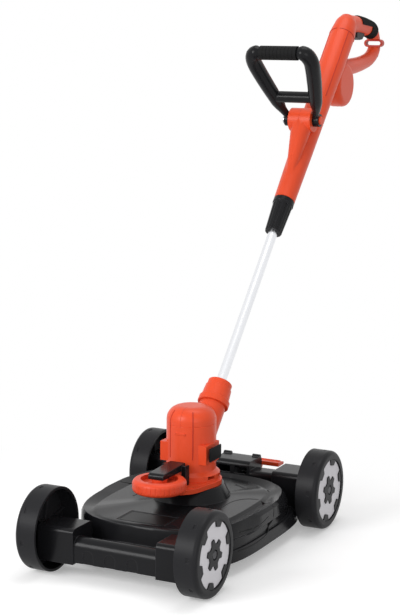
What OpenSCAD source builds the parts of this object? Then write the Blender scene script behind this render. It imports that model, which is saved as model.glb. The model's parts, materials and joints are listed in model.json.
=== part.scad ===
// Wheeled string trimmer: a corded trimmer docked in a four-wheeled cutting deck.
// Frame: +Z up, -Y the machine's front, +X its left; origin on the ground midway between the axles.

/* [Wheels] */
// Outer diameter of a wheel
wheel_d = 160; // [150:1:172]
// Width of a wheel
wheel_w = 44; // [40:1:50]
// Thickness of the tread wall
tread_wall = 5; // [3:0.5:8]
// Diameter of the grey hub disc
hub_disc_d = 124; // [110:1:130]
// Diameter of the shoulder bolts that serve as axles
axle_d = 12; // [10:0.5:13]

/* [Deck] */
// Distance between the front and rear axles
wheelbase = 480; // [470:1:500]
// Distance between the middles of the front wheels
front_track = 330; // [326:1:350]
// Distance between the middles of the rear wheels
rear_track = 382; // [378:1:410]
// Width of the skirt at its lower edge
deck_w = 352; // [340:1:356]
// Reach of the skirt in front of the motor axis
deck_front = 235; // [225:1:240]
// Reach of the skirt behind the motor axis
deck_rear = 240; // [230:1:245]
// Height of the flat deck top
deck_top_z = 96; // [92:1:100]
// Height of the skirt's lower edge
skirt_z = 25; // [20:1:30]
// Wall of the deck moulding
deck_wall = 4; // [3:0.5:5]
// Diameter of the hole that the motor base docks in
dock_d = 114; // [106:1:120]

/* [Foot pedal] */
// Width of the pedal tread
pedal_w = 140; // [120:1:160]
// Depth of the pedal tread
pedal_depth = 28; // [24:1:36]

/* [Motor] */
// Distance of the motor axis behind the middle of the wheelbase
motor_y = 33; // [28:1:38]
// Diameter of the motor housing
motor_d = 98; // [96:1:106]
// Height of the housing's domed top
motor_top_z = 277; // [274:1:288]
// Wall of the motor housing
housing_wall = 3.5; // [2.5:0.5:4.5]
// Diameter of the motor spindle
spindle_d = 8; // [7:0.5:9]
// Outer diameter of the stator
stator_d = 86; // [80:1:88]
// Outer diameter of the rotor
rotor_d = 52; // [46:1:54]

/* [Edge guide] */
// Diameter of the edge guide wheel
edge_wheel_d = 104; // [94:1:110]
// Thickness of the edge guide wheel
edge_wheel_w = 26; // [22:1:30]
// Reach of the edge guide wheel's axle in front of the motor axis
edge_reach = 134; // [130:1:142]
// Height of the edge guide wheel's lower face
edge_z = 136; // [135:1:142]

/* [Cutting head] */
// Diameter of the circle that the line cuts
cutting_d = 305; // [280:1:310]
// Diameter of the spool hub
spool_d = 96; // [86:1:100]
// Height of the spool hub
spool_h = 40; // [34:1:44]
// Diameter of the cutting line
line_d = 2; // [1.6:0.1:2.4]

/* [Shaft] */
// Outer diameter of the tube
tube_d = 20; // [18:0.5:22]
// Wall of the tube
tube_wall = 1.5; // [1:0.1:2]
// Lean of the tube from the vertical, in degrees
tube_lean = 42.2; // [40:0.1:44]
// Height at which the tube's axis crosses the motor axis
tube_cross_z = 153.4; // [150:0.2:158]
// Length of the neck along the tube's axis, from the motor axis
neck_l = 156; // [152:1:164]
// Length of tube that shows between the release collar and the twist collar
tube_show = 369; // [300:1:420]
// Length of tube inside the handle
tube_inside = 190; // [180:1:240]

/* [Upper handle] */
// Length of the barrel
barrel_l = 532; // [515:1:550]
// Diameter of the barrel at its lower end
barrel_low_d = 46; // [45:1:50]
// Diameter of the barrel at its upper end
barrel_high_d = 58; // [56:1:62]
// Wall of the handle shells
shell_wall = 3; // [2.5:0.5:4]
// Length of the hand loop along the barrel
loop_l = 205; // [195:1:215]
// Depth of the hand loop behind the barrel's axis
loop_depth = 180; // [172:1:190]
// Thickness of the hand loop's grip
grip_t = 38; // [35:1:40]

/* [Auxiliary handle] */
// Distance of the auxiliary handle's pivot above the barrel's lower end
aux_up = 190; // [180:1:210]
// Distance of the pivot in front of the barrel's axis
aux_off = 42; // [40:0.5:46]
// Distance from the pivot to the middle of the grip bar
aux_reach = 200; // [190:1:215]
// Width of the loop across its legs at the grip bar
aux_w = 142; // [134:1:156]
// Diameter of the grip bar
aux_grip_d = 30; // [26:1:34]

/* [Hidden] */
$fn = 48;

// Colours of the photographed object
orange = [0.89, 0.34, 0.20];
dark_orange = [0.78, 0.25, 0.15];
black = [0.16, 0.16, 0.17];
dark_grey = [0.25, 0.25, 0.26];
pale_grey = [0.82, 0.81, 0.83];
silver = [0.88, 0.89, 0.90];
steel = [0.60, 0.61, 0.63];
copper = [0.72, 0.42, 0.22];
brass = [0.80, 0.66, 0.32];
milky = [0.85, 0.85, 0.8];

// Clearances and the overrun that every cut uses
run_gap = 0.08;
part_gap = 0.4;
seat_gap = 0.15;
over = 1;

// Wheels
wheel_r = wheel_d / 2;
half_w = wheel_w / 2;
tread_round = 9;
hub_recess = 6;
web_t = 4;
disc_t = 3;
rim_gap = 1.5;
rim_r = hub_disc_d / 2 + rim_gap;
web_out = half_w - hub_recess;
web_in = web_out - web_t;
hub_boss_wall = 9;
hub_boss_r = axle_d / 2 + hub_boss_wall;
star_r = 30;
star_valley_r = 21;
star_points = [[-20, star_valley_r], [-9, star_r], [9, star_r], [20, star_valley_r]];
star_proud = 5;
lug_reach = 11;
lug_r = hub_disc_d / 2 - lug_reach;
lug_recess = 1;
lug_out_a = 13;
lug_in_a = 9;
lobes = 6;
wheel_turn = 15;
rib_depth = 7;
rib_t = 3;
arm_gap = 3.5;
bolt_head_step = 3.5;
bolt_head_r = axle_d / 2 + bolt_head_step;
bolt_head_h = 4;
arm_wall = 8;
nut_h = 8;
nut_step = 4.5;
nut_r = axle_d / 2 + nut_step;
bore_r = axle_d / 2 + run_gap;
pocket_l = 10;
pocket_w = 6;
pocket_deep = 1.2;
pockets = 8;
pocket_z = 2;

// Deck
axle_y = wheelbase / 2;
front_end_x = front_track / 2 - arm_gap;
rear_end_x = rear_track / 2 - arm_gap;
ring_sides = 72;
deck_half = deck_w / 2;
deck_rise = deck_top_z - skirt_z;
dock_r = dock_d / 2;
dock_rim_h = 26;
dock_rim_w = 8;
dock_flare = 14;
// Rows of the deck's section, from the top's edge to the skirt: half width, front, rear, height
// and height in front
deck_row_shares = [
    [0.79, 0.94, 0.60, 1, 1], [0.83, 0.95, 0.64, 0.92, 0.985], [0.955, 0.96, 0.70, 1.03, 0.96],
    [0.975, 0.967, 0.735, 0.93, 0.90], [0.975, 0.974, 0.82, 0.62, 0.66], [0.94, 0.978, 0.80, 0.54, 0.56],
    [0.95, 0.984, 0.86, 0.31, 0.34], [0.972, 0.988, 0.90, 0.29, 0.28], [1, 1, 1, 0, 0]
];
// Squareness of the deck rows in front and behind, at the top row and at the skirt
front_bends = [3.4, 3.6];
rear_bends = [2.4, 3.6];
// Side bulges: depth, its share on each row, begin ahead of the motor axis, lean, end behind it, run-out
bulge_deep = 5;
bulge_top_row = 5;
bulge_row_shares = [0, 0, 0.6, 1, 1, 0.5, 0, 0, 0];
bulge_ahead = 122;
bulge_lean = 22;
bulge_behind = 56;
bulge_ramp = 15;
// Raised creases from the dock to the corners: directions, width and share of the rise on each row
crease_turns = [-56, 38];
crease_turn_w = 7;
crease_row_shares = [0.045, 0.05, 0.02, 0, 0, 0, 0, 0, 0];
front_bar_x = 86;
front_bar_lead = 36;
front_bar_depth = 82;
front_bar_y0 = -axle_y - front_bar_lead;
front_bar_y1 = front_bar_y0 + front_bar_depth;
front_bar_z0 = 34;
front_bar_z1 = wheel_r;
front_bar_low_z = 58;
front_bar_round = 20;
box_foot_z = 30;
front_box_lead = 3;
front_box_tail = 34;
front_box_rise = 17;
front_box_x = [front_bar_x, front_end_x];
front_box_y = [front_bar_y0 - front_box_lead, -axle_y + front_box_tail];
front_box_z = [box_foot_z, wheel_r + front_box_rise];
box_round = 10;
arch_count = 3;
arch_w = 22;
arch_pitch = 46;
arch_h = 26;
arch_deep = 1.5;
arch_shift = -10;
rear_box_x = 41;
rear_box_lead = 22;
rear_box_tail = 42;
rear_box_y = [axle_y - rear_box_lead, axle_y + rear_box_tail];
rear_box_foot_z = 56;
rear_box_top_z = 121;
rear_box_z = [rear_box_foot_z, rear_box_top_z];
rear_bar_x1 = 100;
rear_bar_step = 18;
rear_bar_x = [rear_box_x - deck_wall, rear_bar_x1 + deck_wall];
rear_bar_y = [rear_box_y[0], rear_box_y[1] - rear_bar_step];
rear_bar_top_z = 103;
rear_bar_z = [rear_box_foot_z, rear_bar_top_z];
rear_arm_lead = 42;
rear_arm_tail = 40;
rear_arm_rise = 34;
rear_arm_x = [rear_bar_x1, rear_end_x];
rear_arm_y = [axle_y - rear_arm_lead, axle_y + rear_arm_tail];
rear_arm_z = [box_foot_z, wheel_r + rear_arm_rise];
box_recess = 5;
rear_box_hollow_y = [rear_box_y[0] + box_recess, rear_box_y[1]];
ear_w = 16;
ear_r = 6;
ear_sink = 1.5;
label_w = 101;
label_l = 62;
label_y = -148;
label_deep = 0.8;
tick_x = 62;
tick_y = 128;
tick_l = 30;
tick_w = 5;
tick_turn = -32;
window_mid_x = 19;
window_w = 28;
window_x = [window_mid_x - window_w / 2, window_mid_x + window_w / 2];
window_foot_z = 94;
window_h = 14;
window_z = [window_foot_z, window_foot_z + window_h];

// Latch and pedal
latch_w = 20;
latch_t = 6;
latch_drop = 7;
latch_z = deck_top_z - deck_wall - latch_drop - latch_t;
latch_bite = 3.5;
latch_tip_y = motor_y + dock_r - part_gap - latch_bite;
latch_tail = 20;
latch_end_y = rear_box_y[1] + latch_tail;
latch_side = latch_w / 2 + part_gap;
latch_guide_run = 50;
latch_guide_y = motor_y + dock_r + latch_guide_run;
latch_slot_share = 0.7;
latch_slot_y = motor_y + deck_rear * latch_slot_share;
latch_head_w = 40;
latch_head_t = 6;
latch_travel = 6;
latch_tab_lead = 2;
latch_tab_y = axle_y + latch_tab_lead;
latch_tab_t = 4;
latch_tab_h = 15;
latch_spring_y = latch_tab_y + latch_tab_t + part_gap;
spring_wire = 1.2;
latch_spring_r = 4.6;
pedal_pin_d = 8;
pedal_lead = 5;
pedal_fall = 16;
pedal_hub_wall = 4;
pedal_y = latch_end_y - latch_head_t - pedal_lead;
pedal_z = latch_z - pedal_fall;
pedal_hub_r = pedal_pin_d / 2 + pedal_hub_wall;
nose_y = latch_end_y - latch_head_t - part_gap - latch_t / 2;
nose_z = latch_z + latch_t / 2;
prong_gap = 2;
prong_x = latch_w / 2 + prong_gap;
prong_t = 5;
// Share of the hub that the prong's foot covers on the latch's side
prong_foot_share = 0.5;
pedal_web_x = 21;
pedal_web_t = 5;
lug_x = pedal_web_x + pedal_web_t + part_gap;
lug_t = 6;
tread_drop = 8;
tread_z = rear_bar_z[1] - tread_drop;
tread_t = 6;
tread_gap = 1;
tread_y0 = latch_end_y + tread_gap;
pedal_ribs = 5;
pedal_rib_r = 1.2;
// Shares of the pedal's hub and depth at the corners of its webs, and of the tread's thickness
web_foot_shares = [0.5, 0.8];
web_top_shares = [0.3, 0.8];
tread_lip_share = 1.4;
tread_rib_share = 1.1;

// Motor
motor_r = motor_d / 2;
base_z = deck_top_z + dock_rim_h;
base_t = 12;
shell_z = base_z + base_t;
base_r = 61;
base_nose_r = 50;
base_nose = 52;
spigot_r = dock_r - part_gap;
spigot_drop = 4;
spigot_z = latch_z - spigot_drop;
spigot_groove = 4;
dome_round = 27;
foot_r = 57;
foot_h = 11;
foot_blend = 7;
cap_drop = 34;
cap_groove = 0.7;
cap_z = motor_top_z - cap_drop;
bearing_d = 22;
bearing_t = 7;
bearing_seat_t = 3;
upper_bearing_drop = 46;
upper_bearing_z = motor_top_z - upper_bearing_drop;
lower_bearing_rise = 2;
lower_bearing_z = base_z + lower_bearing_rise;
fan_rise = 5;
fan_z = shell_z + fan_rise;
fan_h = 11;
fan_gap = 6;
fan_r = motor_r - housing_wall - fan_gap;
fan_blades = 9;
stator_rise = 24;
stator_z = shell_z + stator_rise;
stator_h = 38;
air_gap = 0.8;
stator_bore_r = rotor_d / 2 + air_gap;
coil_h = 6;
commutator_r = 11;
commutator_rise = 10;
commutator_z = stator_z + stator_h + commutator_rise;
commutator_h = 13;
brush_w = 7;
brush_holder_w = 12;
spindle_reach = 14;
spindle_z0 = spigot_z - spindle_reach;
neck_r = 27;
neck_rim_r = 21;
neck_rim_l = 16;
tube_foot = 92;
vent_w = 18;
vent_h = 6;
vent_rise = 4;
vents = 2;
vent_turn = 71;
vent_pitch = 32;
pad_x = 26;
pad_mid_y = -7;
pad_l = 58;
pad_y = [pad_mid_y - pad_l / 2, pad_mid_y + pad_l / 2];
pad_z = 169;
pad_h = 38;
pad_proud = 1;
ledge_w = 22;
ledge_t = 3;

// Cutting head
spool_gap = 3;
spool_z1 = spigot_z - spool_gap;
spool_z0 = spool_z1 - spool_h;
spool_r = spool_d / 2;
spool_wall = 3;
cap_h = 14;
bobbin_gap = 2;
bobbin_r = spool_r - spool_wall - bobbin_gap;
bobbin_core_r = 20;
bobbin_t = 2.5;
line_rise = 6;
line_z = spool_z0 + cap_h + line_rise;
sleeve_wall = 5;
hub_sleeve_r = spindle_d / 2 + sleeve_wall;

// Edge guide
edge_y = motor_y - edge_reach;
edge_r = edge_wheel_d / 2;
edge_pin_r = 5;
edge_hub_r = 15;
edge_screw_r = 10.5;
edge_pin_share = 0.7;
edge_rim = 16;
edge_ribs = 36;
bracket_w = 32;
bracket_t = 11;
bracket_gap = 1;
bracket_z = edge_z + edge_wheel_w + bracket_gap;
bracket_rise = 2;
bracket_round = 7;
bracket_leg_t = 9;
bracket_leg_x = 25;

// Shaft and collars
tube_r = tube_d / 2;
collar_s = neck_l - neck_rim_l + part_gap;
collar_l = 52;
collar_ring_r = 32;
collar_ring_l = 13;
collar_low_r = 29;
collar_top_r = 25;
collar_travel = 8;
stop_ring_t = 3;
stop_ring_step = 6;
stop_ring_r = tube_r + stop_ring_step;
collar_floor_gap = 2;
collar_floor_s = neck_l + collar_floor_gap;
collar_floor_t = 5;
stop_sink = 2;
stop_s = collar_s + collar_l - stop_ring_t - stop_sink;
collar_spring_step = 3;
collar_spring_r = tube_r + collar_spring_step;
lock_s = collar_s + collar_l + collar_travel + tube_show;
lock_l = 84;
lock_low_r = 18.5;
lock_high_r = barrel_low_d / 2;
lock_flutes = 9;
flute_r = 4;
flute_out = 2.2;
spigot_l = 63;
handle_spigot_wall = 4.5;
handle_spigot_r = tube_r + handle_spigot_wall;
collet_l = 16;
collet_slit = 2;
handle_s = lock_s + lock_l + part_gap;
tube_top_s = handle_s + tube_inside;
lead_r = 3.2;

// Upper handle, with heights measured from the barrel's lower end
barrel_low_r = barrel_low_d / 2;
barrel_high_r = barrel_high_d / 2;
guide_l = 70;
// Barrel section: height and the share of the growth in radius reached there
barrel_h_shares = [0, 0.25, 0.5, 0.72, 0.90];
barrel_r_shares = [0, 0.35, 0.62, 1, 1];
dome_shares = [[0.955, 0.86], [0.985, 0.62], [1, 0.25]];
loop_drop = 125;
loop_h0 = barrel_l - loop_drop;
// Middle line of the hand loop: share of its length along the barrel and of its depth
loop_shares = [
    [0.463, 0], [0.595, 0.122], [0.741, 0.322], [0.878, 0.544], [0.975, 0.74], [0.945, 0.935],
    [0.854, 0.985], [0.683, 0.915], [0.463, 0.722], [0.244, 0.489], [0, 0.22]
];
// Half thickness of the loop at the same points, as a share of half the grip's thickness
loop_t_shares = [1.05, 1.05, 1, 1, 0.95, 0.85, 0.85, 0.88, 0.92, 1, 1.05];
loop_width_share = 0.92;
loop_steps = 3;
loop_sides = 20;
lobe_drop = 152;
lobe_h = barrel_l - lobe_drop;
lobe_t = 62;
lobe_r = 50;
lobe_half_w = 22;
lobe_round = 12;
aux_boss_r = 26;
aux_boss_half = 26;
ridge_l = 150;
ridge_r = 13;
hand_screw_r = 2;
hand_head_r = 3.6;
hand_screw_l = 30;

// Auxiliary handle
aux_tilt = 5;
aux_leg_x = aux_boss_half + part_gap;
aux_leg_t = 14;
aux_bar_u = 70;
aux_bolt_r = 4;
aux_button_r = 9;
aux_button_travel = 3;

aux_eye_r = 14;
aux_bar_r = 9;
button_pocket = 6;
aux_grip_share = 0.6;
aux_grip_l = aux_w * aux_grip_share;
grip_grooves = 4;

// Small sizes of the motor, head and edge guide
base_step = 3;
ledge_drop = 50;
ledge_z = motor_top_z - ledge_drop;
neck_start = 12;
bobbin_z0 = spool_z0 + spool_wall + seat_gap;
bobbin_h = 23;
cap_grips = 10;
cap_grip_r = 4;
wound_gap = 8;
wound_r = bobbin_r - wound_gap;
bracket_back_gap = 1;
bracket_depth = 16;
bracket_y1 = motor_y - foot_r - bracket_back_gap;
bracket_y0 = bracket_y1 - bracket_depth;
edge_round = 9;
edge_groove_r = 1.2;
edge_groove_out = 0.36;
edge_web_shares = [0.3, 0.65];

// Small sizes of the collars and the handle's fittings
collar_mid_r = 27;
lock_mid_r = 21.5;
lock_band = 12;
trigger_w = 12;
trigger_y0 = -26;
trigger_y1 = 24;
trigger_top = -6;
trigger_room = 3;
trigger_spring_y = -15.6;
trigger_wire = 0.8;
// Underside of the trigger: shares of its length and of the grip's thickness
trigger_shares = [[0.94, 0.55], [0.71, 0.84], [0.36, 0.92], [0.04, 0.8], [0, 0.6]];
grip_slide = 8;
wrap_y = 42;
top_screw_share = 0.935;
inside_top_share = 0.905;
retainer_cut_share = 0.7;
blade_place_share = 0.45;
blade_share = 0.85;
trigger_roof = 4;
pin_y = 18;
pin_z = -10;
trigger_pin_r = 2;
trigger_pin_l = 28;
switch_w = 12;
switch_l = 20;
switch_h = 9;
inlet_r = 9;
inlet_l = 16;
inlet_floor = 5;
blade_gap = 8;
blade_t = 1.5;
blade_w = 6.3;
retainer_w = 46;
retainer_h = 18;
retainer_wall = 4.5;
retainer_depth = 16;
rubber_t = 1.8;
rubber_first = 5;
rubber_last = 12;
far = 1600;

// Points of an arc about a centre
function arc(c, r, a0, a1, n = 6) =
    [for (i = [0:n]) let (a = a0 + (a1 - a0) * i / n) c + r * [cos(a), sin(a)]];

// One point of a smooth curve through four neighbours
function smooth(a, b, c, d, f) =
    0.5 * (2 * b + (c - a) * f + (2 * a - 5 * b + 4 * c - d) * f * f
    + (3 * b - a - 3 * c + d) * f * f * f);

// A smooth curve through a list of points
function curve(p, steps) = let (n = len(p) - 1) concat(
    [for (i = [0:n - 1]) for (j = [0:steps - 1])
        smooth(p[max(i - 1, 0)], p[i], p[i + 1], p[min(i + 2, n)], j / steps)], [p[n]]);

// Triangles between rings of equal counts, ring to ring and closed round each ring
function strip(rings, sides, last) =
    [for (i = [0:last]) for (j = [0:sides - 1]) let (
        a = i * sides + j, b = i * sides + (j + 1) % sides,
        c = ((i + 1) % rings) * sides + (j + 1) % sides, d = ((i + 1) % rings) * sides + j)
        each [[a, b, c], [a, c, d]]];

// A tube through rings of points, closed by a fan at each end
module ring_tube(rings) {
    sides = len(rings[0]);
    n = len(rings);
    all_points = [for (r = rings) each r];
    caps = [for (j = [1:sides - 2]) each [[0, j + 1, j],
        [(n - 1) * sides, (n - 1) * sides + j, (n - 1) * sides + j + 1]]];
    polyhedron(all_points, concat(strip(n, sides, n - 2), caps), convexity = 8);
}

// Rings of an oval tube whose middle line lies in the plane x = 0, as [y, z] points
function plane_rings(path, half_t, half_x, sides) =
    [for (i = [0:len(path) - 1]) let (
        d = path[min(i + 1, len(path) - 1)] - path[max(i - 1, 0)], u = d / norm(d))
        [for (j = [0:sides - 1]) let (a = 360 * j / sides,
            q = half_t[i] * cos(a), x = -half_x[i] * sin(a))
            [x, path[i][0] - u[1] * q, path[i][1] + u[0] * q]]];

// A coil spring along +Z from the origin
module coil(r, wire, l, turns, sides = 6, per_turn = 10) {
    n = turns * per_turn;
    rise = l - wire;
    ring_tube([for (i = [0:n]) let (a = 360 * i / per_turn, z = wire / 2 + rise * i / n)
        [for (j = [0:sides - 1]) let (b = 360 * j / sides, q = r + wire / 2 * cos(b))
            [q * cos(a), q * sin(a), z + wire / 2 * sin(b)]]]);
}

module at_motor(z = 0) translate([0, motor_y, z]) children();
module on_shaft(s = 0)
    translate([0, motor_y, tube_cross_z]) rotate([-tube_lean, 0, 0]) translate([0, 0, s]) children();
module on_handle(h = 0, t = 0) on_shaft(handle_s + h) translate([0, t, 0]) children();
module at_wheel(side, axle)
    translate([side * (axle < 0 ? front_track : rear_track) / 2, axle * axle_y, wheel_r])
        rotate([0, 90 * side, 0]) children();
module every_wheel() for (side = [-1, 1]) for (axle = [-1, 1]) at_wheel(side, axle) children();
module along_x(r, l) rotate([0, 90, 0]) cylinder(r = r, h = l, center = true);
module tube_z(r_out, r_in, h) difference() {
    cylinder(r = r_out, h = h);
    translate([0, 0, -over]) cylinder(r = r_in, h = h + 2 * over);
}
module block(x0, x1, y0, y1, z0, z1) translate([x0, y0, z0]) cube([x1 - x0, y1 - y0, z1 - z0]);

// A side profile of [y, z] points drawn out along X
module across(x0, x1) translate([x0, 0, 0]) rotate([90, 0, 90]) linear_extrude(x1 - x0) children();

// Outline of a box with two rounded upper corners
function lid_outline(y0, y1, z0, z1, r) = concat([[y0, z0]],
    arc([y0 + r, z1 - r], r, 180, 90), arc([y1 - r, z1 - r], r, 90, 0), [[y1, z0]]);

// A moulded box and the hollow below its walls
module tray_outside(x, y, z, r) across(x[0], x[1]) polygon(lid_outline(y[0], y[1], z[0], z[1], r));
module tray_inside(x, y, z, r, end) across(x[0] + end, x[1] - end) polygon(lid_outline(
    y[0] + deck_wall, y[1] - deck_wall, z[0] - over, z[1] - deck_wall, r - deck_wall / 2));

// Star on the wheel's middle, with blunt lobes
module star(grow = 0) polygon([for (k = [0:lobes - 1]) for (e = star_points)
    let (a = k * 360 / lobes + e[0], r = e[1] + grow) [r * cos(a), r * sin(a)]]);

// Lugs that reach in from the wheel's rim
module lugs(grow = 0) for (k = [0:lobes - 1]) rotate((k + 0.5) * 360 / lobes) polygon([
    for (e = [[-lug_in_a, lug_r - grow], [lug_in_a, lug_r - grow],
        [lug_out_a, rim_r + over], [-lug_out_a, rim_r + over]])
        let (a = e[0] + sign(e[0]) * grow) e[1] * [cos(a), sin(a)]]);

module wheel_body() color(black) rotate(wheel_turn) difference() {
    union() {
        rotate_extrude() polygon(concat([[wheel_r, -half_w]],
            arc([wheel_r - tread_round, half_w - tread_round], tread_round, 0, 90),
            [[rim_r, half_w], [rim_r, web_out], [bore_r, web_out], [bore_r, -arm_gap + part_gap],
            [hub_boss_r, -arm_gap + part_gap], [hub_boss_r, web_in],
            [wheel_r - tread_wall, web_in], [wheel_r - tread_wall, -half_w]]));
        translate([0, 0, web_out - over]) linear_extrude(star_proud + over) star();
        translate([0, 0, web_out - over]) linear_extrude(hub_recess - lug_recess + over) lugs();
        for (k = [0:lobes - 1]) rotate(k * 360 / lobes)
            block(hub_boss_r - over, wheel_r - tread_wall + over, -rib_t / 2, rib_t / 2,
                web_in - rib_depth, web_in + over);
    }
    translate([0, 0, web_in - rib_depth - over]) cylinder(r = bore_r, h = wheel_w);
    translate([0, 0, web_out]) cylinder(r = bolt_head_r + part_gap, h = wheel_w);
    for (k = [0:pockets - 1]) rotate((k + 0.5) * 360 / pockets)
        block(wheel_r - pocket_deep, wheel_r + over, -pocket_l / 2, pocket_l / 2,
            pocket_z, pocket_z + pocket_w);
}

module hub_disc_body() color(pale_grey) rotate(wheel_turn) translate([0, 0, web_out])
    linear_extrude(disc_t) difference() {
        circle(r = hub_disc_d / 2);
        star(part_gap);
        lugs(part_gap);
    }

module wheel_front_left() at_wheel(1, -1) wheel_body();
module wheel_front_right() at_wheel(-1, -1) wheel_body();
module wheel_rear_left() at_wheel(1, 1) wheel_body();
module wheel_rear_right() at_wheel(-1, 1) wheel_body();
module hub_disc_front_left() at_wheel(1, -1) hub_disc_body();
module hub_disc_front_right() at_wheel(-1, -1) hub_disc_body();
module hub_disc_rear_left() at_wheel(1, 1) hub_disc_body();
module hub_disc_rear_right() at_wheel(-1, 1) hub_disc_body();

module wheel_axles() color(steel) every_wheel() {
    z0 = -arm_gap - arm_wall - nut_h - over;
    translate([0, 0, z0]) cylinder(d = axle_d, h = web_out + part_gap + over - z0);
    translate([0, 0, web_out + part_gap])
        cylinder(r1 = bolt_head_r, r2 = bolt_head_r - bolt_head_h / 2, h = bolt_head_h);
}

module axle_nuts() color(steel) every_wheel() translate([0, 0, -arm_gap - arm_wall - nut_h]) difference() {
    cylinder(r = nut_r, h = nut_h, $fn = 6);
    translate([0, 0, -over]) cylinder(r = axle_d / 2 + run_gap, h = nut_h + 2 * over);
}

// Distance of a deck row from the motor axis in one direction
function deck_reach(a, half, reach, bend) =
    pow(pow(abs(cos(a)) / half, bend) + pow(abs(sin(a)) / reach, bend), -1 / bend);

// How far a direction points ahead, from 0 to 1
function ahead_share(a) = pow(max(0, -sin(a)), 4);

// How far a direction lies on one of the creases, from 0 to 1
function crease(a) = let (turn = atan2(sin(a), abs(cos(a))))
    max([for (t = crease_turns) exp(-pow((turn - t) / crease_turn_w, 2))]);

// Depth of the side bulge on one row, at a distance behind the motor axis
function bulge(i, y) = let (
    begin = bulge_lean * max(0, bulge_top_row - i) - bulge_ahead,
    run_in = min(1, max(0, (y - begin) / bulge_ramp)),
    run_out = min(1, max(0, (bulge_behind - y) / bulge_ramp)))
    bulge_deep * bulge_row_shares[i] * run_in * run_out;

// One ring of the deck's skin, drawn in by inset and let down by drop
function deck_ring(i, inset, drop) = let (
    row = deck_row_shares[i],
    f = i / (len(deck_row_shares) - 1),
    reach = [deck_front * row[1] - inset, deck_rear * row[2] - inset],
    bend = [front_bends[0] + (front_bends[1] - front_bends[0]) * f,
        rear_bends[0] + (rear_bends[1] - rear_bends[0]) * f])
    [for (j = [0:ring_sides - 1]) let (
        a = 360 * j / ring_sides,
        end = sin(a) < 0 ? 0 : 1,
        r = deck_reach(a, deck_half * row[0] - inset, reach[end], bend[end]),
        rise = row[3] + (row[4] - row[3]) * ahead_share(a) + crease_row_shares[i] * crease(a),
        side = cos(a) < 0 ? -1 : 1)
        [r * cos(a) + side * bulge(i, r * sin(a)), r * sin(a), skirt_z + deck_rise * rise - drop]];
function round_ring(r, z) =
    [for (j = [0:ring_sides - 1]) let (a = 360 * j / ring_sides) [r * cos(a), r * sin(a), z]];

module deck_skin() at_motor() {
    n = len(deck_row_shares);
    rim_r_out = dock_r + dock_rim_w;
    outer = concat([round_ring(dock_r, base_z - seat_gap), round_ring(rim_r_out, base_z - seat_gap),
        round_ring(rim_r_out + dock_flare, deck_top_z)], [for (i = [0:n - 1]) deck_ring(i, 0, 0)]);
    inner = [for (i = [n - 1:-1:0]) deck_ring(i, deck_wall, i == n - 1 ? 0 : deck_wall)];
    rings = concat(outer, inner, [round_ring(dock_r, deck_top_z - deck_wall)]);
    points = [for (r = rings) each r];
    polyhedron(points, strip(len(rings), ring_sides, len(rings) - 1), convexity = 10);
}

// Outline of the front bar, drawn in by inset and let down by drop
function front_outline(inset, drop) = concat([[front_bar_y0 + inset, front_bar_z0 - drop]],
    arc([front_bar_y0 + front_bar_round, front_bar_z1 - front_bar_round], front_bar_round - inset, 180, 90),
    [[front_bar_y1 - inset, front_bar_low_z - inset], [front_bar_y1 - inset, front_bar_z0 - drop]]);

module front_arches() for (k = [0:arch_count - 1])
    translate([arch_shift + (k - (arch_count - 1) / 2) * arch_pitch, front_bar_y0 + arch_deep, 0])
        rotate([90, 0, 0]) linear_extrude(arch_deep + over) {
            translate([-arch_w / 2, front_bar_z0 - over]) square([arch_w, arch_h - arch_w / 2 + over]);
            translate([0, front_bar_z0 + arch_h - arch_w / 2]) circle(d = arch_w);
        }

module both_sides() for (s = [0, 1]) mirror([s, 0, 0]) children();

// Shallow recesses in the deck's top: the label's field and a slot on each side
module top_recesses() {
    block(-label_w / 2, label_w / 2, label_y - label_l / 2, label_y + label_l / 2,
        deck_top_z - label_deep, deck_top_z + over);
    both_sides() translate([tick_x, tick_y, deck_top_z]) rotate(tick_turn)
        cube([tick_l, tick_w, 2 * label_deep], center = true);
}

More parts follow.
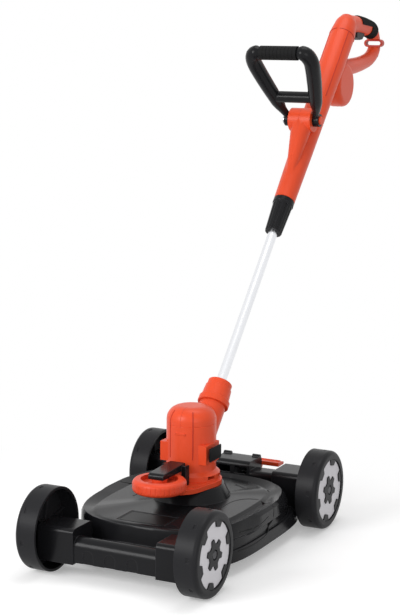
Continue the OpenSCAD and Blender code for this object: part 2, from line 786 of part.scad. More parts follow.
module deck() color(black) difference() {
    union() {
        deck_skin();
        across(-front_bar_x - over, front_bar_x + over) polygon(front_outline(0, 0));
        tray_outside([-rear_box_x, rear_box_x], rear_box_y, rear_box_z, box_round);
        both_sides() {
            tray_outside(front_box_x, front_box_y, front_box_z, box_round);
            tray_outside(rear_arm_x, rear_arm_y, rear_arm_z, box_round);
            tray_outside(rear_bar_x, rear_bar_y, rear_bar_z, box_round);
            across(rear_box_x - ear_w, rear_box_x)
                translate([rear_box_y[1] - box_round, rear_box_z[1] - ear_sink]) circle(r = ear_r, $fn = 24);
            across(lug_x, lug_x + lug_t) polygon(concat([[rear_box_y[1] - over, pedal_z + pedal_hub_r]],
                [[rear_box_y[1] - over, pedal_z - pedal_hub_r]],
                arc([pedal_y, pedal_z], pedal_hub_r, -90, 90)));
            block(latch_side, latch_side + deck_wall, latch_guide_y, latch_slot_y,
                latch_z, deck_top_z - deck_wall + over);
        }
    }
    top_recesses();
    front_arches();
    across(-front_bar_x - over, front_bar_x + over) polygon(front_outline(deck_wall, over));
    tray_inside([-rear_box_x, rear_box_x], rear_box_hollow_y, rear_box_z, box_round, deck_wall);
    block(deck_wall - rear_box_x, rear_box_x - deck_wall, rear_box_y[0] - over, rear_box_y[0] + box_recess,
        rear_box_z[0] - over, rear_box_z[1] - box_round);
    both_sides() {
        tray_inside(front_box_x, front_box_y, front_box_z, box_round, arm_wall);
        tray_inside(rear_arm_x, rear_arm_y, rear_arm_z, box_round, arm_wall);
        tray_inside(rear_bar_x, rear_bar_y, rear_bar_z, box_round, deck_wall);
        block(window_x[0], window_x[1], rear_box_y[0], rear_box_hollow_y[0] + deck_wall + over,
            window_z[0], window_z[1]);
    }
    every_wheel() translate([0, 0, -arm_gap - arm_wall - over])
        cylinder(r = axle_d / 2 + run_gap, h = arm_wall + 2 * over);
    block(-latch_side, latch_side, latch_slot_y, latch_end_y,
        latch_z - part_gap, latch_z + latch_t + part_gap);
    translate([0, pedal_y, pedal_z]) along_x(pedal_pin_d / 2 + run_gap, pedal_w);
}

module latch_bar() color(dark_grey) {
    block(-latch_w / 2, latch_w / 2, latch_tip_y, latch_end_y, latch_z, latch_z + latch_t);
    block(-latch_head_w / 2, latch_head_w / 2, latch_end_y - latch_head_t, latch_end_y,
        latch_z, latch_z + latch_t);
    block(-latch_w / 2, latch_w / 2, latch_tab_y, latch_tab_y + latch_tab_t,
        latch_z, latch_z + latch_tab_h + latch_t);
}

module latch_spring() color(steel)
    translate([0, latch_spring_y, latch_z + latch_t + latch_spring_r + spring_wire + part_gap])
        rotate([-90, 0, 0]) coil(latch_spring_r, spring_wire,
            rear_box_y[1] - deck_wall - part_gap - latch_spring_y, 6);

module pedal_pin() color(steel) translate([0, pedal_y, pedal_z])
    along_x(pedal_pin_d / 2, 2 * (lug_x + lug_t));

module pedal() color(orange) difference() {
    union() {
        both_sides() {
            across(prong_x, pedal_web_x + pedal_web_t) translate([pedal_y, pedal_z]) circle(r = pedal_hub_r);
            across(prong_x, prong_x + prong_t) {
                translate([nose_y, nose_z]) circle(d = latch_t);
                polygon([[pedal_y - pedal_hub_r, pedal_z],
                    [pedal_y + pedal_hub_r * prong_foot_share, pedal_z],
                    [nose_y + latch_t / 2, nose_z], [nose_y - latch_t / 2, nose_z]]);
            }
            across(pedal_web_x, pedal_web_x + pedal_web_t) polygon([[pedal_y - pedal_hub_r, pedal_z],
                [pedal_y + pedal_hub_r * web_foot_shares[0], pedal_z - pedal_hub_r * web_foot_shares[1]],
                [tread_y0 + pedal_depth * web_top_shares[1], tread_z],
                [tread_y0 + pedal_depth * web_top_shares[0], tread_z + tread_t / 2], [tread_y0, tread_z]]);
        }
        across(-pedal_w / 2, pedal_w / 2) polygon(concat(
            [[tread_y0, tread_z], [tread_y0, tread_z + tread_t * tread_lip_share]],
            arc([tread_y0 + pedal_depth - tread_t / 2, tread_z + tread_t / 2], tread_t / 2, 90, -90)));
        for (k = [1:pedal_ribs]) across(-pedal_w / 2 + tread_t, pedal_w / 2 - tread_t)
            translate([tread_y0 + pedal_depth * k / (pedal_ribs + 1), tread_z + tread_t * tread_rib_share])
                circle(r = pedal_rib_r, $fn = 16);
    }
    translate([0, pedal_y, pedal_z]) along_x(pedal_pin_d / 2 + run_gap, pedal_w);
}

// Cutting head, from the motor base downwards
module spool_hub() color(black) at_motor() difference() {
    translate([0, 0, spool_z0 + cap_h]) cylinder(r = spool_r, h = spool_h - cap_h);
    translate([0, 0, spool_z0]) difference() {
        cylinder(r = spool_r - spool_wall, h = spool_h - spool_wall);
        translate([0, 0, spindle_z0 - spool_z0 - spool_wall]) cylinder(r = hub_sleeve_r, h = spool_h);
    }
    translate([0, 0, spool_z0 - over]) cylinder(r = spindle_d / 2 + run_gap, h = spool_h + 2 * over);
    translate([0, 0, line_z]) rotate([-90, 0, 0]) cylinder(r = line_d / 2 + part_gap, h = spool_r + over);
}

module line_spool() color(dark_grey) at_motor(bobbin_z0) difference() {
    union() {
        cylinder(r = bobbin_core_r, h = bobbin_h);
        for (z = [0, bobbin_h - bobbin_t]) translate([0, 0, z]) cylinder(r = bobbin_r, h = bobbin_t);
    }
    translate([0, 0, -over]) cylinder(r = bobbin_core_r - bobbin_t, h = bobbin_h + 2 * over);
}

module spool_spring() color(steel) at_motor(bobbin_z0 + bobbin_h + seat_gap)
    coil(bobbin_core_r - bobbin_t / 2, spring_wire,
        spool_z1 - spool_wall - bobbin_z0 - bobbin_h - 2 * seat_gap, 3);

module spool_cap() color(dark_grey) at_motor(spool_z0) difference() {
    cylinder(r = spool_r, h = cap_h);
    translate([0, 0, spool_wall]) cylinder(r = spool_r - spool_wall, h = cap_h);
    for (k = [0:cap_grips - 1]) rotate(k * 360 / cap_grips)
        translate([spool_r + cap_grip_r / 2, 0, -over])
            cylinder(r = cap_grip_r, h = cap_h - spool_wall + over);
}

module cutting_line() color(milky) at_motor() {
    translate([0, 0, bobbin_z0 + bobbin_t + seat_gap])
        tube_z(wound_r, bobbin_core_r + seat_gap, bobbin_h - 2 * bobbin_t - 2 * seat_gap);
    translate([0, wound_r - line_d, line_z]) rotate([-90, 0, 0])
        cylinder(d = line_d, h = cutting_d / 2 - wound_r + line_d);
}

// Outline of the motor base: two round ends and their tangents
module base_outline(grow = 0) {
    r1 = base_r + grow;
    r2 = base_nose_r + grow;
    f = acos((r1 - r2) / base_nose);
    polygon(concat(arc([0, 0], r1, f - 90, 270 - f, 24), arc([0, -base_nose], r2, 270 - f, 270 + f, 16)));
}

module motor_base() color(orange) at_motor() difference() {
    union() {
        translate([0, 0, base_z]) linear_extrude(base_t - base_step) base_outline();
        translate([0, 0, base_z]) linear_extrude(base_t) base_outline(-base_step);
        translate([0, 0, spigot_z]) cylinder(r = spigot_r, h = base_z - spigot_z + over);
    }
    translate([0, 0, spigot_z - over])
        cylinder(r = spigot_r - 2 * spigot_groove, h = base_z - spigot_z + over);
    translate([0, 0, latch_z - part_gap])
        tube_z(spigot_r + over, spigot_r - spigot_groove, latch_t + 2 * part_gap);
    translate([0, 0, lower_bearing_z]) cylinder(r = bearing_d / 2 + run_gap, h = base_t);
    translate([0, 0, spigot_z]) cylinder(r = spindle_d / 2 + over, h = base_t + base_z - spigot_z);
}

module bearing() tube_z(bearing_d / 2, spindle_d / 2 + run_gap, bearing_t);
module lower_bearing() color(steel) at_motor(lower_bearing_z) bearing();
module upper_bearing() color(steel) at_motor(upper_bearing_z) bearing();

module motor_outside() {
    at_motor() {
        rotate_extrude() polygon(concat([[0, shell_z], [foot_r, shell_z], [foot_r, shell_z + foot_h],
            [motor_r, shell_z + foot_h + foot_blend], [motor_r, cap_z - cap_groove],
            [motor_r - cap_groove, cap_z], [motor_r, cap_z + cap_groove]],
            arc([motor_r - dome_round, motor_top_z - dome_round], dome_round, 0, 90, 8), [[0, motor_top_z]]));
        both_sides() block(pad_x, motor_r + pad_proud, pad_y[0], pad_y[1], pad_z, pad_z + pad_h);
        block(-ledge_w / 2, ledge_w / 2, -motor_r - ledge_t / 2, -motor_r + ledge_t,
            ledge_z, ledge_z + ledge_t);
    }
    on_shaft(neck_start) cylinder(r = neck_r, h = neck_l - neck_rim_l - neck_start);
    on_shaft(neck_start) cylinder(r = neck_rim_r, h = neck_l - neck_start);
}

module motor_inside() {
    inner_r = motor_r - housing_wall;
    seat_r = stator_d / 2 + seat_gap;
    seat_z = [stator_z - seat_gap, stator_z + stator_h + seat_gap];
    bulkhead_z = upper_bearing_z - bearing_seat_t;
    bearing_r = bearing_d / 2 + run_gap;
    at_motor() {
        rotate_extrude() polygon([[0, shell_z - over], [inner_r, shell_z - over], [inner_r, seat_z[0]],
            [seat_r, seat_z[0]], [seat_r, seat_z[1]], [inner_r, seat_z[1]],
            [inner_r, bulkhead_z], [spindle_d, bulkhead_z], [spindle_d, upper_bearing_z],
            [bearing_r, upper_bearing_z], [bearing_r, upper_bearing_z + bearing_t],
            [0, upper_bearing_z + bearing_t]]);
        both_sides() for (k = [0:vents - 1]) rotate(vent_turn + k * vent_pitch - 90)
            block(inner_r - over, foot_r + over, -vent_w / 2, vent_w / 2,
                shell_z + vent_rise, shell_z + vent_rise + vent_h);
    }
    on_shaft(tube_foot) cylinder(r = tube_r + run_gap, h = neck_l);
    on_shaft(neck_start) cylinder(r = tube_r / 2, h = neck_l);
}

// Places of the screws that hold the two motor shells together
module motor_screw_places() {
    at_motor(motor_top_z - dome_round / 2) children();
    for (s = [-1, 1])
        on_shaft(tube_foot + neck_r / 2) translate([0, s * (tube_r + neck_r) / 2, 0]) children();
}

// A screw that lies along X with its head on the right-hand side
module side_screw(l, grow = 0) rotate([0, 90, 0]) {
    translate([0, 0, -l / 2]) cylinder(r = hand_screw_r + grow, h = l + grow);
    translate([0, 0, -l / 2 - (grow > 0 ? neck_r : 0)])
        cylinder(r = hand_head_r + grow, h = hand_screw_r + (grow > 0 ? neck_r : 0));
}

module motor_screws() color(steel) motor_screw_places() side_screw(hand_screw_l);

module half_space(side) translate([side * far / 2, 0, 0]) cube(far, center = true);

module motor_shell(side) color(orange) intersection() {
    difference() {
        motor_outside();
        motor_inside();
        motor_screw_places() side_screw(hand_screw_l, run_gap);
    }
    translate([0, 0, motor_top_z]) half_space(side);
}
module motor_shell_left() motor_shell(1);
module motor_shell_right() motor_shell(-1);

module stator() color(steel) at_motor() {
    translate([0, 0, stator_z]) tube_z(stator_d / 2, stator_bore_r, stator_h);
    translate([0, 0, stator_z - coil_h])
        tube_z(stator_d / 2 - coil_h / 2, stator_bore_r + coil_h / 2, stator_h + 2 * coil_h);
}

module rotor() color(copper) at_motor() {
    translate([0, 0, spindle_z0])
        cylinder(d = spindle_d, h = upper_bearing_z + bearing_t - part_gap - spindle_z0);
    translate([0, 0, stator_z]) cylinder(d = rotor_d, h = stator_h);
    translate([0, 0, stator_z - coil_h]) cylinder(r = rotor_d / 2 - coil_h / 2, h = stator_h + 2 * coil_h);
}

module commutator() color(copper) at_motor(commutator_z)
    tube_z(commutator_r, spindle_d / 2 + run_gap, commutator_h);

module fan() color(dark_grey) at_motor(fan_z) difference() {
    union() {
        cylinder(r = spindle_d, h = fan_h);
        cylinder(r = fan_r, h = bobbin_t);
        for (k = [0:fan_blades - 1]) rotate(k * 360 / fan_blades)
            block(spindle_d - over, fan_r, -bobbin_t / 2, bobbin_t / 2, 0, fan_h);
    }
    translate([0, 0, -over]) cylinder(r = spindle_d / 2 + run_gap, h = fan_h + 2 * over);
}

holder_end = sqrt(pow(motor_r - housing_wall, 2) - pow(brush_holder_w / 2, 2)) - seat_gap;
module brush_holders() color(brass) at_motor(commutator_z + (commutator_h - brush_holder_w) / 2)
    both_sides() difference() {
        block(commutator_r + bobbin_t, holder_end, -brush_holder_w / 2, brush_holder_w / 2,
            0, brush_holder_w);
        block(0, holder_end - bobbin_t, -brush_w / 2 - seat_gap, brush_w / 2 + seat_gap,
            (brush_holder_w - brush_w) / 2 - seat_gap, (brush_holder_w + brush_w) / 2 + seat_gap);
    }
module carbon_brushes() color(black) at_motor(commutator_z + (commutator_h - brush_w) / 2) both_sides()
    block(commutator_r + part_gap, holder_end - 2 * bobbin_t, -brush_w / 2, brush_w / 2, 0, brush_w);

// Edge guide
module edge_bracket() color(black) difference() {
    nose_y = edge_y - bracket_w / 2;
    back_z = bracket_z + bracket_t + bracket_rise;
    union() {
        across(-bracket_w / 2, bracket_w / 2) polygon(concat([[bracket_y1, bracket_z], [bracket_y1, back_z],
            [bracket_y0 + bracket_t, back_z]],
            arc([nose_y + bracket_round, bracket_z + bracket_t - bracket_round], bracket_round, 90, 180),
            [[nose_y, bracket_z]]));
        across(-bracket_leg_x, bracket_leg_x) polygon([[bracket_y0, bracket_z], [bracket_y1, bracket_z],
            [bracket_y1, back_z - bracket_round / 2], [bracket_y0, bracket_z + bracket_t]]);
        both_sides() block(bracket_leg_x - bracket_leg_t, bracket_leg_x, bracket_y0, bracket_y1,
            shell_z, bracket_z + over);
    }
    translate([0, edge_y, bracket_z - over])
        cylinder(r = edge_pin_r + run_gap, h = bracket_t * edge_pin_share + over);
}

module edge_wheel() color(orange) translate([0, edge_y, edge_z]) difference() {
    web_z = edge_wheel_w * edge_web_shares;
    rotate_extrude() polygon(concat([[edge_pin_r + run_gap, 0], [edge_hub_r, 0], [edge_hub_r, web_z[0]],
        [edge_r - edge_rim, web_z[0]]], arc([edge_r - edge_round, edge_round], edge_round, -90, 0),
        arc([edge_r - edge_round, edge_wheel_w - edge_round], edge_round, 0, 90),
        [[edge_r - edge_rim, edge_wheel_w], [edge_r - edge_rim, web_z[1]], [edge_hub_r, web_z[1]],
        [edge_hub_r, edge_wheel_w], [edge_pin_r + run_gap, edge_wheel_w]]));
    for (k = [0:edge_ribs - 1]) rotate(k * 360 / edge_ribs) translate([edge_r + edge_groove_out, 0, -over])
        cylinder(r = edge_groove_r, h = edge_wheel_w + 2 * over, $fn = 12);
}

module edge_screw() color(steel) translate([0, edge_y, 0]) {
    translate([0, 0, edge_z - part_gap - bolt_head_h]) cylinder(r = edge_screw_r, h = bolt_head_h);
    translate([0, 0, edge_z - part_gap - over])
        cylinder(r = edge_pin_r, h = bracket_z + bracket_t * edge_pin_share - edge_z);
}

// Shaft
module shaft_tube() color(silver) on_shaft(tube_foot)
    tube_z(tube_r, tube_r - tube_wall, tube_top_s - tube_foot);
module tube_lead() color(black) on_shaft(tube_foot)
    translate([0, tube_r - tube_wall - lead_r - seat_gap, 0])
        cylinder(r = lead_r, h = tube_top_s - tube_foot);

module release_collar() color(orange) on_shaft(collar_s) difference() {
    band_s = collar_l - collar_ring_l;
    rotate_extrude() polygon([[0, 0], [collar_ring_r - over, 0], [collar_ring_r, over],
        [collar_ring_r, collar_ring_l - over], [collar_ring_r - over, collar_ring_l],
        [collar_low_r, collar_ring_l], [collar_mid_r, band_s], [collar_top_r, band_s],
        [collar_top_r, collar_l - over], [collar_top_r - over, collar_l], [0, collar_l]]);
    translate([0, 0, -over]) cylinder(r = neck_rim_r + part_gap, h = collar_floor_s - collar_s + over);
    cylinder(r = tube_r + part_gap, h = collar_l);
    translate([0, 0, collar_floor_s + collar_floor_t - collar_s])
        cylinder(r = stop_ring_r + 2 * part_gap, h = collar_l);
}
module collar_spring() color(steel) on_shaft(collar_floor_s + collar_floor_t + seat_gap)
    coil(collar_spring_r, spring_wire, stop_s - collar_floor_s - collar_floor_t - 2 * seat_gap, 5);
module stop_ring() color(steel) on_shaft(stop_s) tube_z(stop_ring_r, tube_r + run_gap, stop_ring_t);

module twist_collar() color(black) on_shaft(lock_s) difference() {
    rotate_extrude() polygon([[0, 0], [lock_low_r - over, 0], [lock_low_r, over],
        [lock_mid_r, lock_l - lock_band], [lock_high_r, lock_l - lock_band + over],
        [lock_high_r, lock_l - over], [lock_high_r - over, lock_l], [0, lock_l]]);
    translate([0, 0, -over]) cylinder(r = tube_r + part_gap, h = lock_l + 2 * over);
    translate([0, 0, handle_s - spigot_l - collet_l - seat_gap - lock_s])
        cylinder(r = handle_spigot_r + run_gap, h = lock_l);
    for (k = [0:lock_flutes - 1]) rotate(k * 360 / lock_flutes)
        translate([lock_low_r + flute_out, 0, 0]) rotate([0, atan((lock_mid_r - lock_low_r) / lock_l), 0])
            cylinder(r = flute_r, h = lock_l - lock_band - flute_r);
}

module clamp_collet() color(dark_grey) on_handle(-spigot_l - collet_l) difference() {
    tube_z(handle_spigot_r - seat_gap, tube_r + run_gap, collet_l);
    block(-collet_slit / 2, collet_slit / 2, 0, handle_spigot_r, -over, collet_l + over);
}

// Upper handle
barrel_grow = barrel_high_r - barrel_low_r;
barrel_line = [for (i = [0:len(barrel_h_shares) - 1])
    [barrel_low_r + barrel_grow * barrel_r_shares[i], barrel_l * barrel_h_shares[i]]];
loop_nodes = [for (p = loop_shares) [loop_depth * p[1], loop_h0 + loop_l * p[0]]];
loop_path = curve(loop_nodes, loop_steps);
loop_half = curve([for (f = loop_t_shares) [grip_t / 2 * f, 0]], loop_steps);

module loop_solid(grow = 0, first = 0, last = len(loop_path) - 1) {
    half = [for (i = [first:last]) loop_half[i][0] + grow];
    wide = [for (i = [first:last]) loop_half[i][0] * loop_width_share + grow];
    ring_tube(plane_rings([for (i = [first:last]) loop_path[i]], half, wide, loop_sides));
}

// Frame of the trigger on the grip: Y along the grip, Z out of its top
grip_turn = atan2(loop_nodes[3][1] - loop_nodes[1][1], loop_nodes[3][0] - loop_nodes[1][0]);
module on_grip() on_handle(loop_nodes[2][1], loop_nodes[2][0]) rotate([grip_turn, 0, 0])
    translate([0, grip_slide, 0]) children();
module at_retainer() on_handle(loop_nodes[5][1], loop_nodes[5][0]) rotate([tube_lean, 0, 0]) children();
module at_inlet() on_handle(loop_nodes[6][1], loop_nodes[6][0]) rotate([-90, 0, 0]) children();
module on_aux() on_handle(aux_up, -aux_off) rotate([90 - aux_tilt, 0, 0]) children();

module lobe() rotate([0, 90, 0]) rotate_extrude() polygon(concat([[0, -lobe_half_w]],
    arc([lobe_r - lobe_round, lobe_round - lobe_half_w], lobe_round, -90, 0),
    arc([lobe_r - lobe_round, lobe_half_w - lobe_round], lobe_round, 0, 90), [[0, lobe_half_w]]));

module handle_outside() on_handle() {
    rotate_extrude() polygon(concat(
        [[0, -spigot_l], [handle_spigot_r, -spigot_l], [handle_spigot_r, 0]], barrel_line,
        [for (p = dome_shares) [barrel_high_r * p[1], barrel_l * p[0]]], [[0, barrel_l]]));
    loop_solid();
    translate([0, lobe_t, lobe_h]) lobe();
    translate([0, -aux_off, aux_up]) along_x(aux_boss_r, 2 * aux_boss_half);
    translate([0, -barrel_low_r / 2, aux_up - ridge_l])
        rotate([atan((aux_off - barrel_low_r / 2) / ridge_l), 0, 0])
            cylinder(r1 = ridge_r / 2, r2 = aux_boss_r - over, h = ridge_l);
}

module handle_screw_places() {
    on_handle(lobe_h, lobe_t) children();
    on_handle(loop_nodes[8][1], loop_nodes[8][0]) children();
    on_handle(barrel_l * top_screw_share, 0) children();
}

module handle_inside() {
    inner = [for (i = [2:len(barrel_line) - 1]) barrel_line[i] - [shell_wall, 0]];
    on_handle() rotate_extrude() polygon(concat([[0, -spigot_l - over], [tube_r + run_gap, -spigot_l - over],
        [tube_r + run_gap, guide_l], [barrel_low_r - shell_wall, guide_l + over]], inner,
        [[0, barrel_l * inside_top_share]]));
    on_aux() along_x(aux_bolt_r + run_gap, 4 * aux_boss_half);
    on_grip() {
        block(-trigger_w / 2 - part_gap, trigger_w / 2 + part_gap,
            trigger_y0 - trigger_room, trigger_y1 + trigger_room, -grip_t, trigger_roof);
        block(-switch_w / 2 - seat_gap, switch_w / 2 + seat_gap, trigger_y1 - switch_l, trigger_y1,
            trigger_roof - over, trigger_roof + switch_h + seat_gap);
        translate([0, pin_y, pin_z]) along_x(trigger_pin_r + run_gap, trigger_pin_l + 2 * seat_gap);
    }
    at_retainer() block(-grip_t, grip_t, -grip_t * retainer_cut_share, grip_t,
        -retainer_h / 2 - seat_gap, retainer_h / 2 + seat_gap);
    at_inlet() cylinder(r = inlet_r + seat_gap, h = far / 4);
    handle_screw_places() side_screw(hand_screw_l, run_gap);
}

module handle_shell(side) color(orange) intersection() {
    difference() {
        handle_outside();
        handle_inside();
    }
    on_handle() half_space(side);
}
module handle_shell_left() handle_shell(1);
module handle_shell_right() handle_shell(-1);
module handle_screws() color(steel) handle_screw_places() side_screw(hand_screw_l);

// Rubber on the grip's top, wrapped right round the grip behind the fingers
module rubber_grip() color(black) difference() {
    on_handle() loop_solid(rubber_t, rubber_first, rubber_last);
    on_handle() loop_solid(seat_gap / 2);
    on_grip() translate([0, wrap_y - far / 2, -far / 2]) cube(far, center = true);
}

module trigger() color(black) on_grip() difference() {
    across(-trigger_w / 2, trigger_w / 2) polygon(concat(
        [[trigger_y0, trigger_top], [pin_y, trigger_top], [trigger_y1, pin_z]],
        [for (p = trigger_shares) [trigger_y0 + (trigger_y1 - trigger_y0) * p[0], -grip_t * p[1]]]));
    translate([0, pin_y, pin_z]) along_x(trigger_pin_r + run_gap, grip_t);
}
module trigger_pin() color(steel) on_grip() translate([0, pin_y, pin_z])
    along_x(trigger_pin_r, trigger_pin_l);
module trigger_spring() color(steel) on_grip() translate([0, trigger_spring_y, trigger_top + seat_gap])
    coil(trigger_w / 4, trigger_wire, trigger_roof - trigger_top - 2 * seat_gap, 4);
module switch() color(dark_grey) on_grip() block(-switch_w / 2, switch_w / 2,
    trigger_y1 - switch_l + seat_gap, trigger_y1 - seat_gap, trigger_roof, trigger_roof + switch_h);

module inlet_body() color(black) at_inlet() difference() {
    cylinder(r = inlet_r, h = inlet_l);
    translate([0, 0, inlet_floor]) cylinder(r = inlet_r - shell_wall / 2, h = inlet_l);
    for (s = [-1, 1]) translate([s * blade_gap / 2, 0, inlet_floor / 2])
        cube([blade_t + 2 * seat_gap, blade_w + 2 * seat_gap, inlet_l], center = true);
}
module inlet_blades() color(brass) at_inlet() for (s = [-1, 1])
    translate([s * blade_gap / 2, 0, inlet_l * blade_place_share])
        cube([blade_t, blade_w, inlet_l * blade_share], center = true);

module slot_outline(w, h) {
    square([w - h, h], center = true);
    for (s = [-1, 1]) translate([s * (w - h) / 2, 0]) circle(d = h);
}
module cord_retainer() color(dark_orange) at_retainer() rotate([90, 0, 0])
    linear_extrude(retainer_depth, center = true) difference() {
        slot_outline(retainer_w, retainer_h);
        slot_outline(retainer_w - 2 * retainer_wall, retainer_h - 2 * retainer_wall);
    }

// Auxiliary handle: half of the loop's middle line, as shares of half its width and of its reach
aux_shares = [
    [0.58, 0.18], [0.67, 0.34], [0.80, 0.56], [0.91, 0.78], [0.93, 0.89], [0.86, 0.97], [0.72, 1], [0.6, 1],
    [0.3, 1], [0, 1]
];
aux_wide_share = 0.6;
aux_t_shares = [0.62, 0.72, 0.80, 0.84, 0.84, 0.84, 0.82, 0.82, 0.82, 0.82];
aux_foot = [[aux_leg_x + aux_leg_t / 2, 0], [aux_leg_x + aux_leg_t / 2, aux_leg_t]];
aux_half_line = concat(aux_foot, [for (p = aux_shares) [aux_w / 2 * p[0], aux_reach * p[1]]]);
aux_half_t = concat([aux_leg_t / 2, aux_leg_t / 2], [for (f = aux_t_shares) aux_grip_d / 2 * f]);
aux_n = len(aux_half_line);
aux_line = concat(aux_half_line, [for (i = [aux_n - 2:-1:0]) [-aux_half_line[i][0], aux_half_line[i][1]]]);
aux_half = concat(aux_half_t, [for (i = [aux_n - 2:-1:0]) aux_half_t[i]]);
aux_path = curve(aux_line, loop_steps);
aux_thick = [for (p = curve([for (h = aux_half) [h, 0]], loop_steps)) p[0]];
aux_wide = [for (h = aux_thick) max(h, aux_leg_t * aux_wide_share)];

module aux_loop() color(black) on_aux() difference() {
    union() {
        rotate(90) ring_tube(plane_rings(aux_path, aux_thick, aux_wide, loop_sides - 4));
        for (s = [-1, 1]) translate([s * (aux_leg_x + aux_leg_t / 2), 0, 0]) along_x(aux_eye_r, aux_leg_t);
        translate([0, 0, aux_bar_u]) along_x(aux_bar_r, aux_w * aux_shares[1][0]);
    }
    along_x(aux_bolt_r + run_gap, 4 * aux_boss_half);
    along_x(aux_boss_r + part_gap, 2 * aux_leg_x);
    translate([aux_leg_x + aux_leg_t - button_pocket / 2 + over / 2, 0, 0])
        along_x(aux_button_r + part_gap, button_pocket + over);
}

module aux_grip() color(dark_grey) on_aux() translate([0, 0, aux_reach]) rotate([0, 90, 0]) difference() {
    cylinder(d = aux_grip_d, h = aux_grip_l, center = true);
    cylinder(r = aux_grip_d / 2 * aux_t_shares[7] + seat_gap, h = aux_grip_l + over, center = true);
    for (k = [-grip_grooves:grip_grooves]) translate([0, 0, k * aux_grip_l / (2 * grip_grooves + 2)])
        tube_z(aux_grip_d / 2 + over, aux_grip_d / 2 - over / 2, over);
}

module aux_bolt() color(steel) on_aux() {
    x0 = -aux_leg_x - aux_leg_t;
    x1 = aux_leg_x + aux_leg_t - button_pocket - part_gap;
    translate([x0, 0, 0]) rotate([0, 90, 0]) cylinder(r = aux_bolt_r, h = x1 - x0);
    translate([x0 - bolt_head_h - part_gap, 0, 0]) rotate([0, 90, 0])
        cylinder(r = aux_button_r, h = bolt_head_h);
    translate([x0 - part_gap - over, 0, 0]) rotate([0, 90, 0])
        cylinder(r = aux_bolt_r, h = part_gap + 2 * over);
}

module aux_button() color(orange) on_aux()
    translate([aux_leg_x + aux_leg_t - button_pocket + aux_button_travel + part_gap, 0, 0])
        rotate([0, 90, 0]) rotate_extrude() polygon([[0, 0], [aux_button_r, 0],
            [aux_button_r, button_pocket - over], [aux_button_r - over, button_pocket], [0, button_pocket]]);

deck();
wheel_axles();
axle_nuts();
pedal();
pedal_pin();
latch_bar();
latch_spring();
wheel_front_left();
wheel_front_right();
wheel_rear_left();
wheel_rear_right();
hub_disc_front_left();
hub_disc_front_right();
hub_disc_rear_left();
hub_disc_rear_right();
spool_hub();
line_spool();
spool_spring();
spool_cap();
cutting_line();
motor_shell_left();
motor_shell_right();
motor_base();
motor_screws();
stator();
rotor();
commutator();
fan();
brush_holders();
carbon_brushes();
upper_bearing();
lower_bearing();
edge_bracket();
edge_wheel();
edge_screw();
shaft_tube();
tube_lead();
release_collar();
collar_spring();
stop_ring();
handle_shell_left();
handle_shell_right();
handle_screws();
rubber_grip();
trigger();
trigger_pin();
trigger_spring();
switch();
inlet_body();
inlet_blades();
cord_retainer();
clamp_collet();
twist_collar();
aux_loop();
aux_grip();
aux_bolt();
aux_button();
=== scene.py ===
"""Finishes, fitted pieces and studio for a wheeled string trimmer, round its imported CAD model."""

import json
import math

import bmesh
import bpy
from bpy.props import FloatProperty, FloatVectorProperty, PointerProperty
from bpy.types import Operator, Panel, PropertyGroup
from mathutils import Matrix, Vector

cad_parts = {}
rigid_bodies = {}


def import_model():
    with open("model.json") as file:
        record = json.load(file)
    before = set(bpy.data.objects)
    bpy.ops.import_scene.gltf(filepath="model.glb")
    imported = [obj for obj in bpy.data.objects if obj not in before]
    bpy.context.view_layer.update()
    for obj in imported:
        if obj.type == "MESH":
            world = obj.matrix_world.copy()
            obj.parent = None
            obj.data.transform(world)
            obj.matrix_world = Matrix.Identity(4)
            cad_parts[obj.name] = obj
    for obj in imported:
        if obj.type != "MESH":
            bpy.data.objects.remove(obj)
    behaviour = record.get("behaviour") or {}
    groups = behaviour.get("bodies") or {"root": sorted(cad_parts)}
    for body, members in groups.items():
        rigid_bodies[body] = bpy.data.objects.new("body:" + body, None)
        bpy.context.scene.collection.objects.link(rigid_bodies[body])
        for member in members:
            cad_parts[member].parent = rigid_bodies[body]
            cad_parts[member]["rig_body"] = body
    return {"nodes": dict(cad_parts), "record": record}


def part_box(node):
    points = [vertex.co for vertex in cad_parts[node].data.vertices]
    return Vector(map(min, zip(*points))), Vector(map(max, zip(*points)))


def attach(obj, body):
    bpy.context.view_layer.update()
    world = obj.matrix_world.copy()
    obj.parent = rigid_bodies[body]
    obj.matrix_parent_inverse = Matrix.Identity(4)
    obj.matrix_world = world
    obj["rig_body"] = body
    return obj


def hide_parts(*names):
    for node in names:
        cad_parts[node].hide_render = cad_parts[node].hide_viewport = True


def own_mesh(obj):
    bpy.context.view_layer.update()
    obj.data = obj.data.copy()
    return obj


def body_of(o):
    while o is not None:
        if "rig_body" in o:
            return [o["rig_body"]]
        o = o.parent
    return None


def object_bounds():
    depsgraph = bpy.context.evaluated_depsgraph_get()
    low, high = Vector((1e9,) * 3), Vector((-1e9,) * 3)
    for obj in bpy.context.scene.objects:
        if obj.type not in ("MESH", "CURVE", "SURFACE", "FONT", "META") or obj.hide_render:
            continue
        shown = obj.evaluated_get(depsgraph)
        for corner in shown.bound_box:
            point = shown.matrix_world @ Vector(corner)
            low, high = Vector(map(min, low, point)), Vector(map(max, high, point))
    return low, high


bl_info = {
    "name": "Wheeled string trimmer",
    "version": (1, 0, 0),
    "blender": (4, 5, 0),
    "location": "View3D > Sidebar > Trimmer",
    "description": "Dresses a packed wheeled string trimmer with moulded plastics, seams, ribs and a studio",
    "category": "Object",
}

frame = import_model()
CAD_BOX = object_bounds()
NODES = frame["nodes"]
SLOTS = {part["node"]: part["material_slot"] for part in frame["record"]["subparts"]}
JOINTS = {joint["name"]: joint for joint in frame["record"]["behaviour"]["joints"]}

MM = 0.001
# Points of a CAD mesh that lie closer than this are one point
WELD = 0.002 * MM
# Edges that turn by less than this are shaded smooth
BLUNT = math.radians(32)
# The way to the machine's left, which is also square to its parting plane
LEFT = Vector((1, 0, 0))
# How squarely a face has to look back along a ray to count as skin
FACING = 0.2

